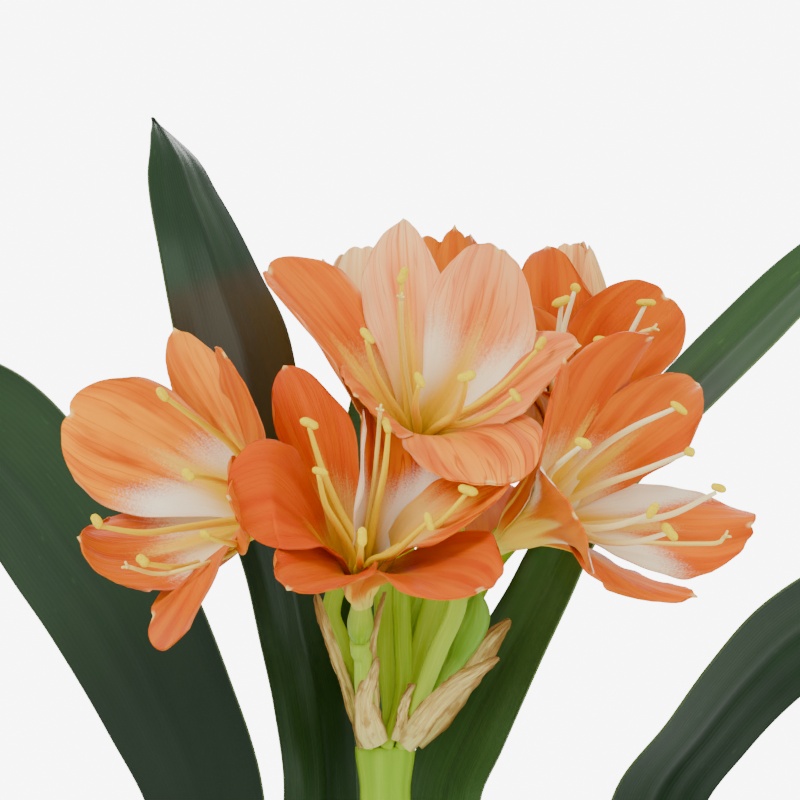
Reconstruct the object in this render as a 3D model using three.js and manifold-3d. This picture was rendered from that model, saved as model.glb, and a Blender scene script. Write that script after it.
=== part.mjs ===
// Clivia in a terracotta pot, in flower.
// Millimetres, +Z up. Origin: centre of the pot's underside.
// Each flower is a perianth (six tepals grown together into a short tube), six stamens on a ring,
// a pistil (ovary, style, stigma) and a pedicel. Leaves and flower stalk rise from the soil.
import * as THREE from 'three';
import { mergeVertices } from 'three/addons/utils/BufferGeometryUtils.js';
import Module from 'manifold-3d';

// ---------- driving dimensions ----------
const POT_SIDES = 24;
const POT_PROFILE = [[0, 0], [57, 0], [58.5, 1.5], [76, 128], [84, 129], [88, 132], [89, 160], [86.5, 165], [82.5, 165],
  [80.5, 161], [78.5, 145], [71, 126], [54, 13], [48, 8], [0, 8]];   // radius, height
const DRAIN = { count: 3, radius: 4.5, at: 34 };   // holes through the floor of the pot
const SOIL_PROFILE = [[0, 8.4], [47.7, 8.4], [53.5, 13.3], [70.4, 126], [77.8, 145], [78.2, 148.4], [60, 150], [0, 150]];
const SOIL_TOP = 150;          // leaves and stalk start just above it
const GAP = 0.35;              // clearance between neighbouring pieces
const SCAPE_TOP = 400;         // where the pedicels leave the flower stalk
const SCAPE_HALF = [7.0, 5.6]; // half width and half depth of the flattened stalk
const LEAF_THICK = 2.2;
const BRACT_THICK = 0.9;
const TEPAL_THICK = 1.4;
const TEPAL_ROWS = 5, TEPAL_COLUMNS = 2;
const FINENESS = 0.12;         // facets smaller than this are merged
const RING = { inner: 1.3, outer: 2.6, height: 1.0 };   // where the six filaments join
const FILAMENT_R = 0.8, STYLE_R = 0.8;
const ANTHER = [2.7, 1.15, 1.15];                       // half sizes
const OVARY_R = 3.6;
const TUBE = { neck: 3.0, neckBore: 1.6, throat: 6.7, throatBore: 3.2, rim: 1.4 };
const CLOSED = [[0, 0.2], [2.2, 0.2], [3.6, 4.5], [3.2, 9.5], [2.6, 12.5], [3.6, 17], [6, 26], [8, 38], [9.6, 52], [10, 63], [8.6, 73], [5.6, 80], [0, 82]];   // closed flower, from the pedicel up
const PEDICEL = { base: 1.6, inner: 1.4, top: 2.55 };
const TEPAL_KIND = {           // radius of the root circle, width profile along the tepal, shape of the tip
  i: { root: 4.2, prof: [.19, .50, .84, 1.0, .98, .80], tau: [.19, 2.3] },
  o: { root: 5.8, prof: [.22, .54, .86, 1.0, .92, .64], tau: [.26, 1.9] },
};
const PROF_AT = [0, .25, .5, .7, .86, 1.0];

// Flowers. throat: centre of the mouth of the tube; axis: way it faces; neck, base: ends of the ovary;
// tepals: [kind, direction of its plane, length, 4 leaning angles, 3 yaw angles, 3 twist angles, width,
//          3 cross curvatures, 3 + 3 width changes of the two halves];
// stamens: [points of the filament, two ends of the anther]; style and pedicel: points.
const FLOWERS = [
  { name: 'flower_front', throat: [-7.2,-46.5,449.2], axis: [0.057,-0.703,0.709], neck: [-6.4,-36,442.3], base: [-6.8,-26.5,431.4], stem: 1.6,
    pedicel: [[-4,-4.9,400.5],[-4.2,-7,406.1],[-5.8,-13,417.1],[-6.2,-22,427.3],[-6.9,-23.9,428.4],[-6.8,-26.2,431]],
    tepals: [
      ["o",[-0.54,0.576,0.614],[61.5,21.8,40.5,51,107.6,2.9,-7,-16.1,7.9,3.6,-20.1,23.3,0.99,0.77,0.37,-0.02,-0.19,0.17,-0.01,-0.04,0.15]],
      ["i",[-0.937,-0.283,-0.206],[57.8,19.1,21.8,45.4,51,-2.8,-25.9,28.3,12.8,-23.7,-17.2,32.9,0.58,1.16,-0.51,0.01,0,0.18,-0.01,-0.16,-0.01]],
      ["o",[-0.426,-0.659,-0.62],[59.2,10.9,57.2,57,52.9,14.8,-17.6,4.5,1.3,17,-12,26.7,2.51,0.44,0.06,-0.01,0.07,0.19,0,-0.01,-0]],
      ["i",[0.635,-0.522,-0.569],[58.5,32.6,48.5,57.8,59.6,4.6,8.5,-13.9,-28.1,12.8,-1.4,34.4,1.2,0.9,0.15,-0.01,-0.05,-0.03,0.01,0.14,-0.03]],
      ["o",[0.998,0.01,-0.069],[57.3,10.4,39.4,53.4,36.5,1.8,-5.2,-8.1,-13.9,10.6,-5.7,23.6,1.15,0.63,-0.18,-0.01,-0.03,0.09,0,0,0]],
      ["i",[0.189,0.705,0.684],[47.4,12.3,31.4,36.8,61.7,-6.7,-8.2,15.5,34.8,49.3,25.7,32.2,1.69,1.45,0.8,-0.06,0.03,0.23,-0.03,-0.05,0.01]],
    ],
    stamens: [
      [[[-8.9,-44.8,448.9],[-6.5,-54.2,457],[-12.5,-59.8,469.4],[-16.5,-67,479.3],[-19.7,-74,489.5]],[[-22.1,-74.3,492.1],[-17.3,-74.3,490.1]]],
      [[[-8.8,-46.3,447.5],[-8.5,-55.8,456],[-11.5,-66.2,463.1],[-15.2,-76.4,469.9],[-17.4,-86.8,477.1]],[[-18.6,-87.1,479.5],[-14.5,-87.1,478.2]]],
      [[[-5.8,-44.4,449.1],[-4,-52.6,458.8],[-2.1,-60.6,468.6],[0,-68.6,478.3],[1.8,-76.5,488.2]],[[0,-76.8,492.9],[1.3,-76.8,488.5]]],
      [[[-7.3,-46.8,446.8],[-6.8,-56.3,452.8],[-6.5,-57,453],[-6,-83.1,456.8],[-5.6,-95.3,459.8]],[[-5.6,-95.6,464.7],[-5.6,-95.6,459.5]]],
      [[[-6,-46.5,447.1],[-3.9,-55.5,453.9],[2.7,-69.7,457.1],[7.2,-78.9,461.4],[11.2,-90,465.8]],[[10.9,-90.3,468.4],[12.5,-90.3,463.2]]],
      [[[-5.4,-45.8,447.7],[-0.8,-54.2,455.1],[8,-55.1,460.3],[15.6,-73.5,465.8],[21.7,-80.5,472.6]],[[19.4,-80.8,474.7],[24.6,-80.8,473.1]]],
    ],
    style: [[-7.3,-44.4,447.1],[-4.3,-55.5,465.4],[-2.7,-62.1,476.2],[-1.6,-68.7,486.8],[-1,-80,494.5]] },
  { name: 'flower_upper', throat: [9,-27.6,488.1], axis: [0.071,-0.665,0.743], neck: [7.9,-17.6,476.9], base: [7,-9.6,468], stem: 1.6,
    pedicel: [[0.4,-6.4,400.5],[4.8,-3,416.4],[4.8,-3,430.4],[4.5,-3,444.3],[6.8,-6.9,465],[7,-9.2,467.6]],
    tepals: [
      ["i",[-0.939,0.207,0.276],[65.3,30.3,23.7,50.4,53.7,19.9,3.8,-6.1,-3.1,23.6,11.1,37.7,-0.05,0.86,0.51,0,-0.01,0.24,0.11,0.03,-0.14]],
      ["o",[-0.242,0.711,0.66],[60.3,8.6,32.9,50.8,95.3,0.8,2.6,-16.4,1.6,-3.5,-23.8,24,1.01,0.75,0.13,-0.02,-0.2,-0.03,-0.01,-0.01,0.34]],
      ["i",[0.604,0.622,0.499],[59.2,15.7,27.1,27.7,6.1,-21.1,3.6,4.4,8.1,0.7,-5.5,33,0.78,0.23,-0.02,0.02,0.12,0.05,-0.02,-0.1,0.06]],
      ["o",[0.973,-0.119,-0.2],[58,27.6,46.9,29.1,44.4,0.5,3.5,-15.1,5.9,22,9.7,26.9,0.7,-0.14,-0.23,0,0.05,0.19,0,0,0.17]],
      ["i",[0.315,-0.692,-0.65],[57.8,37,43.6,77,81.5,5.1,7.9,-11.8,-8.8,16.9,-4.3,34.8,0.53,0.64,-0.1,0.01,0.02,0.03,0.02,0.01,0.18]],
      ["o",[-0.498,-0.669,-0.551],[58.5,13.1,35.6,50.8,48.8,-6.2,-7.7,15.5,-4,-14.7,-14.4,25,0.92,0.54,-0.02,0,0.01,0.14,0,0,0.02]],
    ],
    stamens: [
      [[[7.2,-25.9,487.7],[6.3,-33.8,497.7],[5.3,-41.7,507.8],[4.5,-49.5,517.9],[4.5,-57.3,528.1]],[[5.8,-57.6,532.9],[3.9,-57.6,528.3]]],
      [[[7.4,-27.6,486.2],[4.5,-37.4,493],[0.5,-47.9,499.4],[-2.6,-58.4,505.6],[-4.8,-69,511.9]],[[-6.1,-69.3,516.4],[-2.7,-69.3,512.4]]],
      [[[8.7,-28,485.7],[8.8,-37.7,491.4],[8.2,-42.5,493.3],[8.1,-63.7,496.9],[8.9,-75.8,500]],[[8.4,-76.1,504.7],[10.5,-76.1,500.6]]],
      [[[9.6,-27.9,485.7],[13.7,-38.5,489.6],[18.4,-50.4,492.6],[20.5,-61.9,497.2],[21.8,-73.5,501.9]],[[19.2,-73.8,502.9],[24.2,-73.8,504.5]]],
      [[[10.1,-27.6,485.9],[14.8,-36.7,489.9],[22.7,-51,491.1],[28.5,-59.3,493.7],[33.2,-70.3,497.4]],[[33.2,-70.6,500.3],[36.1,-70.6,496.9]]],
      [[[10.7,-27,486.4],[16.6,-34.8,491.9],[26.2,-45.9,496.9],[33.5,-52.4,502.9],[40.1,-61,509.4]],[[42.7,-61.4,514.1],[40.6,-61.4,510.4]]],
    ],
    style: [[8.8,-25.6,485.9],[7.2,-34.9,497.4],[5.8,-41.6,505.5],[4.7,-50.4,516.2],[4.5,-57,524.1]] },
  { name: 'flower_left', throat: [-31.8,-26.2,467.9], axis: [-0.688,-0.627,0.365], neck: [-21.5,-16.8,462.4], base: [-13.2,-9.3,458.1], stem: 1.6,
    pedicel: [[-6.1,-0.9,400.5],[-8.1,-5,415.1],[-10,-6,423.6],[-12.5,-7,431.1],[-15,-8,438.2],[-10.5,-6.8,456.6],[-12.8,-9,457.9]],
    tepals: [
      ["i",[-0.587,0.777,0.227],[60.6,9.7,29.6,42.6,58,0.5,-1.9,1.1,-5.3,-6.2,-5,35.7,0.73,0.51,0.34,0,-0.05,0.08,0.05,0.03,0.12]],
      ["o",[0.136,0.383,0.914],[54.2,14.2,36.7,39.2,85.2,-8.9,5.6,30.1,-6.2,-12.2,49.3,24.4,0.82,0.15,-0.63,0,0,0.1,0,-0.02,0.04]],
      ["i",[0.653,-0.316,0.688],[58.1,16.7,45.6,43.4,22.7,-2.6,-3.1,5.7,-2.5,9.2,9.5,33.2,0.79,-0.04,0,0,0.02,0.02,-0.01,-0.02,0.01]],
      ["o",[-0.611,0.23,-0.757],[57.4,38.4,44.6,44.6,-24.6,4.9,3.1,9.2,-2.6,-6.4,-27,28.4,-0.08,0.22,-0.17,-0.01,-0.06,0.29,0.06,-0.07,0.14]],
      ["i",[-0.035,-0.474,-0.88],[49.9,30.6,41.3,64.2,102.7,4.3,-3.8,-78.1,11.6,20.2,15.5,36,0.45,0.02,-0.55,-0.01,-0.02,0.05,0,-0.06,0.47]],
      ["o",[0.552,-0.779,-0.297],[58.3,12.8,45.5,59.9,33.8,0.7,-5,3.7,5.6,58.2,38.5,25.7,1.1,0.23,-0.26,0,0.06,0.16,0,0,0.02]],
    ],
    stamens: [
      [[[-29.6,-25.7,468.9],[-35.7,-34.2,477],[-41.6,-42.8,485.4],[-49.5,-51.6,491.6],[-57.5,-60.5,497.4]],[[-60.4,-60.8,500.6],[-57.5,-60.8,497.1]]],
      [[[-29.7,-26.8,466.8],[-35,-38.1,470.4],[-39.9,-49.8,474],[-45,-61.7,476.4],[-49.9,-73.7,477.4]],[[-52.8,-74,479.3],[-49.9,-74,476.4]]],
      [[[-31.7,-25.2,465.7],[-42.7,-32.7,464.4],[-53.7,-40,462.9],[-64.8,-47.2,461.7],[-76,-54.2,462.6]],[[-78.1,-54.5,466.7],[-76,-54.5,462.9]]],
      [[[-30.1,-26.7,466.2],[-35.6,-34.9,466.9],[-38.3,-45.8,459.9],[-42.4,-66.6,460],[-46.4,-75.5,461.4]],[[-48.3,-75.8,463],[-45.6,-75.8,461.5]]],
      [[[-31,-26.1,465.6],[-38.2,-35.4,459.3],[-47.1,-31.2,454.8],[-55.2,-54.7,452.9],[-63.9,-64.7,453.4]],[[-65.5,-65,456.1],[-62.5,-65,453.4]]],
      [[[-29.5,-26.8,467.1],[-32.7,-32.6,469.2],[-35.2,-39.3,471.1],[-35.6,-40.2,472.3],[-36.3,-66.7,474.7]],[[-37.8,-67,476.8],[-35.5,-67,474.4]]],
    ],
    style: [[-29.7,-24.4,466.8],[-40.5,-38.2,456.5],[-49.8,-60.4,453.3],[-59.8,-57.3,451],[-67.6,-65,453.2]] },
  { name: 'flower_right', throat: [40.9,-32.3,463.8], axis: [0.718,-0.546,0.431], neck: [30.1,-24.1,457.3], base: [21.5,-17.6,452.1], stem: 1.6,
    pedicel: [[4.3,-4.6,400.5],[9.5,-9,414],[14.2,-13,426.8],[20.2,-16,442.1],[18.6,-15.4,450.4],[21.1,-17.3,451.9]],
    tepals: [
      ["i",[-0.133,0.501,0.855],[58.9,17.2,47.9,51.9,18.8,8.5,-4.2,-13.2,3.6,14.3,19.6,33.6,0.82,-0.31,-0.71,0,-0.01,-0.05,-0.01,0.09,0.06]],
      ["o",[0.341,0.817,0.466],[63.6,18.2,34.9,51.3,97.6,4.5,3.5,-14.6,-7.6,-14.8,-10.8,25.2,1.04,0.86,0.4,-0.02,-0.1,0.22,0,-0.02,0.19]],
      ["i",[0.688,0.462,-0.56],[58.4,14.5,46.7,48.5,18.6,-2.3,-2,-2,-2.8,-0.1,-6.5,33.8,1.11,0.07,-0.55,-0.01,0.08,0.1,0.02,-0.06,-0.08]],
      ["o",[0.213,-0.418,-0.883],[57.2,22.5,61.2,41.5,31.5,-2.1,-6.2,6.1,-5.8,1.1,49.5,24.1,1.02,-0.41,-0.64,-0.01,0.02,0.03,0.01,-0.02,0.02]],
      ["i",[-0.47,-0.838,-0.278],[57.9,22.9,47.9,58.8,50.9,-2.3,0,2.4,10.8,-7.3,0.1,33.5,0.9,0.34,-0.19,0,0.01,0.01,0,0,0.05]],
      ["o",[-0.676,-0.4,0.619],[57.8,17.3,41.2,49,34.1,0.7,1.1,-0.6,-6.5,-19.7,-17,23.8,0.85,0.36,-0.06,0,0,0,0,0.01,0.02]],
    ],
    stamens: [
      [[[39.2,-31,464.9],[47.3,-38,473.8],[55.6,-45,482.5],[65.4,-51.9,489.5],[76.1,-58.8,495]],[[76.3,-59.1,496.9],[80.6,-59.1,493.7]]],
      [[[39.6,-32.9,461.7],[48.4,-40.8,469.2],[58.2,-48.9,474.5],[68.7,-57.1,478.5],[78.8,-65.6,482.8]],[[79.6,-65.9,484.4],[82.3,-65.9,483.4]]],
      [[[38.6,-33,463.3],[43.3,-42.1,468.9],[43.8,-45.4,475.6],[46.6,-68.4,480.8],[50.4,-80.8,484.3]],[[49.9,-81.1,487],[54.1,-81.1,485.1]]],
      [[[40.9,-31.3,461.5],[52.6,-38.3,463.2],[64.7,-45.2,464.6],[76.6,-52.1,466.7],[87.5,-58.8,471.6]],[[87,-59.1,474.5],[91,-59.1,473.2]]],
      [[[39.4,-33,461.9],[47.5,-42.8,463.7],[55.1,-55,463.2],[62.1,-66.5,464.4],[68.3,-78.3,466.5]],[[71.7,-78.6,470.4],[69.1,-78.6,466.3]]],
      [[[39.8,-32.8,461.6],[48.6,-41.1,463.2],[57.8,-53.2,459.5],[66,-64,459.5],[73.5,-75.1,462]],[[73.2,-75.4,465.1],[76.9,-75.4,460.7]]],
    ],
    style: [[38.7,-30.7,462.5],[58,-47.6,459.8],[71,-54.3,459.2],[81.2,-61.9,459.2],[88.8,-67.6,459.9],[89.7,-68.8,461.2]] },
  { name: 'flower_upper_right', throat: [47.1,22.7,481.1], axis: [0.185,-0.688,0.702], neck: [44.3,33,470.6], base: [42.1,41.3,462.1], stem: 1.4,
    pedicel: [[2.1,-0.4,400.5],[9.8,9,412.8],[17,18,426.4],[23.1,26,438.8],[30.7,34,451.3],[37.5,40,458.3],[41.4,44.1,459.3],[42,41.7,461.8]],
    tepals: [
      ["o",[-0.259,0.654,0.71],[61.5,16.3,35.9,44.7,104.3,1.7,0.3,-17.6,0.1,-1.2,-20.2,26.7,0.9,0.58,0.46,0,0,0.17,0,0,0.22]],
      ["i",[0.71,0.587,0.389],[58.5,9.8,31.6,45.4,89.3,-0.4,3.1,11.1,-1.3,3,14.6,33,0.92,0.63,0.57,0,0,0.05,0,-0.05,0.06]],
      ["i",[-0.923,0.123,0.364],[54,-5.7,15.6,32.7,46.5,-1,1.8,-9.4,-3.7,-3.5,25.2,33.3,0.93,0.61,0.03,0,0.04,-0.02,0,0,0]],
      ["o",[-0.529,-0.671,-0.519],[50.2,-0.3,20.5,32.9,39.2,0.2,0.4,1,0,0,0,23.5,0.9,0.55,0.25,0,0,0,0,0,0]],
      ["i",[0.058,-0.705,-0.707],[50.2,-3.1,17.9,30.6,38,0,0,0.1,0,0,0,33,0.9,0.55,0.25,0,0,0,0,0,0]],
      ["o",[0.879,-0.203,-0.431],[49.5,3.6,24.2,36.8,43.3,-1,-2.3,-5.5,0,0,0,23.5,0.9,0.55,0.25,0,0,0,0,0,0]],
    ],
    stamens: [
      [[[45.8,24.8,481.4],[48,16.3,490.2],[47.4,7.2,502.6],[48.4,3.6,513.2],[49.4,-3.3,523.9]],[[46.6,-3.6,523.9],[51.7,-3.6,526.1]]],
      [[[46.4,25.1,481.4],[48.4,16.9,490.5],[48.5,8.6,504.1],[49.8,6.8,515.5],[52.7,1.5,526.8]],[[52.4,1.2,529.9],[54.6,1.2,528]]],
      [[[48.2,24.9,480.8],[52.3,18.1,490.1],[60.7,12.5,501.7],[67.1,9.7,512.1],[72.8,5.7,523.3]],[[70.6,5.4,524.7],[76.2,5.4,524.7]]],
      [[[48.1,22.9,478.9],[51.2,13.8,487.4],[54.2,4.7,495.8],[57.2,-4.5,504.3],[60.1,-13.8,512.6]],[[57.6,-14.1,514],[62.6,-14.1,513.2]]],
      [[[45.4,22.6,479.3],[47,13.6,487.5],[46.4,3,494.4],[44.2,-8.6,500.2],[41.4,-20.4,505.3]],[[38.9,-21.1,504.5],[43.5,-21.2,506.8]]],
      [[[45,24,480.8],[47.4,16.3,488.4],[47.5,9.1,496.8],[45.9,2.2,505.6],[42.4,-4,514.8]],[[41.6,-2.2,516.8],[42.7,-6.6,514.2]]],
    ],
    style: [[46.5,24.8,479],[67.3,1.9,511.4],[71.3,-1.9,516.1],[74.5,-4,517.2]] },
  { name: 'flower_back_upper', throat: [19.8,40,498], axis: [0,0.101,0.995], neck: [19.8,38.5,483.1], base: [19.8,37.3,471.1], stem: 1.4,
    pedicel: [[-0.5,2,400.5],[6.2,7,412.9],[9.9,13,425.2],[14.5,23,440.3],[17.7,29,451.5],[19.8,36.9,467.1],[19.8,37.2,470.6]],
    tepals: [
      ["i",[0,0.995,-0.101],[57.5,-2.9,20.9,36.2,32.5,1.4,2,-1,0.1,1.9,-2.9,32,0.9,0.51,-0.15,0,0,-0.12,0,0,-0.07]],
      ["o",[-0.866,0.497,-0.05],[46.3,-10.3,18.9,21.4,43.1,3,3.6,-4,6.8,-6.7,-2.5,23.4,0.99,0.68,0.16,0.02,-0.01,0.09,0.03,-0.01,0.05]],
      ["i",[-0.866,-0.497,0.05],[45.5,-11.8,15.5,23.5,43.4,1.6,-0.4,-3.3,8.7,-13.8,-3.6,28.2,0.84,0.63,0.19,0,-0.05,0.05,-0.01,0.01,-0.03]],
      ["o",[0,-0.995,0.101],[45.9,-8.6,17.5,24.2,32.6,1.3,4.7,-1.8,15.5,-11.1,-8.1,23,0.95,0.66,0.11,0,0.02,0.05,-0.03,-0.02,-0]],
      ["i",[0.866,-0.497,0.05],[47.4,-8.7,7.7,22.7,36.6,-2.9,-4.6,3.7,9.3,0.7,5.9,30.5,0.77,0.53,0.12,-0.01,-0.05,-0.1,0,0.02,-0.01]],
      ["o",[0.866,0.497,-0.05],[47,-12.1,17.7,24.9,46,-2.1,-4.6,-9.2,10.2,-2.2,-3.6,23.5,1.3,0.52,0.38,-0.01,-0.01,0.1,0.02,0.01,-0.05]],
    ],
    stamens: [
      [[[20.6,38.1,496.7],[20.3,39.7,507.1],[20.8,39.6,517.6],[22,37.8,528.3],[22.9,36.6,538.8]],[[21.5,34.4,539.5],[24.4,38.7,539.7]]],
      [[[19,41.6,496.3],[18.9,42.9,506.9],[18.1,45.7,517.2],[17.3,48.6,527.5],[16.2,52.1,537.6]],[[13.9,53.6,537.7],[18.3,51.1,539.1]]],
      [[[21.8,39.9,496.5],[20.9,40.9,506.8],[21.7,42,517.1],[24.5,43.1,527.4],[27.7,44.3,537.6]],[[30.2,45.1,537.5],[25.6,43.6,539.1]]],
      [[[17.9,39.9,496.5],[18.7,40.9,506.9],[17.1,42,517.2],[13.5,43.1,527.4],[14.8,44.1,537.6]],[[12.9,45.8,538.5],[16.9,42.5,538.3]]],
      [[[20.8,41.5,496.3],[20.9,42.7,506.5],[21.8,45.2,516.6],[23,48.1,526.5],[24.4,51.3,536.4]],[[24.4,49.1,538],[24.5,54,536.3]]],
      [[[18.8,38.2,496.6],[19.2,40,507.2],[18.2,39.5,518],[16.3,37.6,528.8],[16.6,39,539.3]],[[16.6,41.7,539.7],[16.5,36.5,540.4]]],
    ],
    cup: [[9,26],[12.5,38],[13.6,50],[11.5,60]],
    style: [[19.8,39.7,495],[19.8,41.4,510.3],[19.9,43.5,525.6],[20,45.6,538.6]] },
  { name: 'flower_back_upper_left', throat: [-1.6,36,496.2], axis: [-0.03,0.081,0.996], neck: [-1.1,34.8,481.3], base: [-0.8,33.8,469.4], stem: 1.4,
    pedicel: [[-1.3,-1.6,400.5],[0.8,5,408.8],[0.5,11,423.9],[0.2,20,440.5],[-0.7,26,451.6],[-0.6,33.5,465.4],[-0.7,33.8,468.8]],
    tepals: [
      ["o",[-0.422,0.902,-0.086],[58.1,-5.7,16.1,30.3,55.7,1.1,-2.7,-20.6,0.2,-2.3,-34.8,24.5,0.9,0.55,0.14,0,0,0.03,0,0,0.1]],
      ["i",[-0.996,0.085,-0.037],[43.5,-16,9.5,22.8,35.1,-0.8,2.3,3.9,5.3,1.3,8.5,30.4,1.36,0.71,0.08,0,-0.02,0.04,0.01,-0.05,-0.02]],
      ["o",[-0.573,-0.818,0.049],[45.1,-11.7,10.4,29.6,40.3,0.8,2.4,0.8,3.5,7.3,3.7,24.5,0.84,0.34,0.01,-0.01,-0.03,0,0.03,0.02,0.08]],
      ["i",[0.422,-0.902,0.086],[46.2,-10.7,9.5,22,39.1,-3.6,-4.5,7.2,1.6,2.3,-3.9,30.6,0.96,0.52,0.33,0.01,0,0,-0.02,0.03,-0.08]],
      ["o",[0.996,-0.085,0.037],[46,-11.8,13.5,23.3,40.5,3.1,-4.5,-11,-3.9,-7.5,0.4,23.9,0.96,0.55,0.2,0.01,0.03,-0.04,0.02,-0.1,-0.07]],
      ["i",[0.573,0.818,-0.049],[49.2,-11.5,8.3,23.4,40.8,-0.2,2.9,-2.5,-9.4,-10.7,5.6,31.5,1,0.46,0.17,-0.01,0.03,-0.03,0.01,0,0.04]],
    ],
    stamens: [
      [[[-0.5,34.2,494.9],[-1.4,36,504.7],[-1.3,36,514.7],[-0.3,34.7,524.8],[1.2,32.3,534.9]],[[3.7,33.1,535.5],[-1.1,31.1,535.8]]],
      [[[-2.4,37.6,494.6],[-2.1,37.3,504.6],[-3,39.2,514.3],[-5,43.4,523.7],[-6.5,46.4,533.2]],[[-6.8,49,533.2],[-6.3,44.1,534.8]]],
      [[[-3.5,35.8,494.7],[-2.2,36.6,504.3],[-3,37.4,513.9],[-5.8,38.1,523.3],[-10.1,38.8,532.7]],[[-8,38.6,534.5],[-12.7,39,532.3]]],
      [[[0.4,35.9,494.8],[-0.9,36.7,504.5],[-0.6,37.5,514.2],[2,38.4,524],[4.8,39.2,533.7]],[[2.5,38.9,535.2],[7.5,39.6,533.7]]],
      [[[-0.5,37.5,494.6],[-1.5,37.2,504.6],[-1.5,38.5,514.4],[-0.6,41.3,524],[0.8,44.9,533.6]],[[-0.8,47.1,533.8],[2.6,43.2,534.8]]],
      [[[-2.6,34.3,494.9],[-2.2,36.1,504.6],[-3,36.1,514.5],[-5.4,33.8,524.4],[-7,32.8,534.2]],[[-9,31,534.5],[-5.2,34.3,535.5]]],
    ],
    cup: [[8.6,25],[12,37],[12.6,47],[10.5,56]],
    style: [[-1.5,35.8,493.3],[-2.1,37,507.6],[-3.1,38.2,521.8],[-4.2,39.4,534]] },
  { name: 'flower_back_left', throat: [-43,54,468], axis: [-0.281,0.944,0.171], neck: [-38.8,39.8,465.4], base: [-35.4,28.5,463.4], stem: 1.6,
    pedicel: [[-4,4.9,400.5],[-5.5,19,412.1],[-11.6,32,424.1],[-19.5,38,436.7],[-25.9,40,451.1],[-34.3,24.7,462.7],[-35.3,28,463.3]],
    tepals: [
      ["o",[0.264,-0.095,0.96],[49.3,-0.3,16.8,39.7,56.3,-2.3,6.8,2.5,-2,0,0.1,22.6,0.77,0.37,0.09,-0.01,-0.02,-0.04,-0.05,-0.02,0.1]],
      ["i",[0.931,0.226,0.287],[53.9,-8.5,22.1,41.5,49.5,1.2,2,6,-5.6,-3.9,3.7,30.3,1.04,0.37,0.15,0.02,0.02,-0.04,0.01,0.02,0.01]],
      ["o",[0.667,0.32,-0.673],[55,1.5,27.2,39.5,45.6,-1.7,-1.1,-3.3,-5.6,1.3,8.9,21.8,0.73,0.46,0.08,0.01,0.02,0.03,0.02,0.04,0.06]],
      ["i",[-0.264,0.095,-0.96],[55.6,3.6,31,42.1,41.1,2.8,-4.5,4.9,1.8,0.8,-15.9,29.1,0.97,0.31,0.02,-0.04,-0.04,0.03,0.02,0.04,0.03]],
      ["o",[-0.931,-0.226,-0.287],[52.9,3.7,12.3,33.4,35.6,0.4,-9.6,-4.5,8.7,7.8,8.9,23.2,0.75,0.72,0.11,0.01,0.07,-0.08,0.01,-0.03,0.02]],
      ["i",[-0.667,-0.32,0.673],[50.6,-4.7,10.4,37.7,54.2,-1.6,-1,-4.5,2.2,-3.5,-2.1,30.2,0.9,0.76,0.03,-0.02,0.02,0.02,-0.02,-0.02,-0.1]],
    ],
    stamens: [
      [[[-41.7,52.5,469.5],[-44.9,63.1,471.2],[-46.6,73.4,475.9],[-47,83.3,483],[-47.5,93.1,489.7]],[[-46.6,95.1,488.2],[-48.5,92.3,492.1]]],
      [[[-43.7,52.5,466.1],[-48,63.9,466.9],[-53,75,466.5],[-58.8,85.9,465],[-65.2,96.5,462.4]],[[-67.1,95.8,460.6],[-64.1,98.5,463.9]]],
      [[[-41.5,53.2,466.2],[-44.2,65,467.2],[-45.9,77.1,467],[-47,89.4,465.9],[-47.3,101.8,463.7]],[[-47.1,103,466.1],[-47.5,102.2,461]]],
      [[[-44.4,52,467.9],[-47.8,63.2,469.9],[-54.1,73.3,472.1],[-62.2,82.5,474.4],[-72.2,90.9,476.8]],[[-71.2,93.4,476.5],[-74.4,89.4,477.4]]],
      [[[-40.7,53.1,467.9],[-44.3,63.6,469.7],[-44.6,74.8,471.8],[-42.7,86.5,473.9],[-41,97.9,476]],[[-39.7,98.1,478.4],[-42.1,99.3,473.9]]],
      [[[-43.5,52,469.3],[-46.6,62.9,471.1],[-50.9,72.7,474.9],[-56.6,81.5,481],[-63.8,88.8,489.9]],[[-65,90.8,488.5],[-63.5,87.6,492.3]]],
    ],
    cup: [[10,26],[15.5,38],[20.5,50],[25,62]],
    style: [[-42.2,51.2,467.5],[-46.9,67.8,470.5],[-51.3,84.4,473.4],[-54.8,98.8,475.9]] },
  { name: 'flower_bud_tall', throat: [57.5,55,490], axis: [-0.06,0.03,0.998], neck: [58.4,54.5,475], base: [59.1,54.2,463.1], stem: 1.6,
    pedicel: [[5.3,3.4,400.5],[9,14,412.4],[15.7,27,424.4],[22.1,39,438.1],[29.2,48,450.8],[36.4,53,458.8],[46.6,54,461.7],[59.4,54.1,459.1],[59.2,54.2,462.5]],
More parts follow.
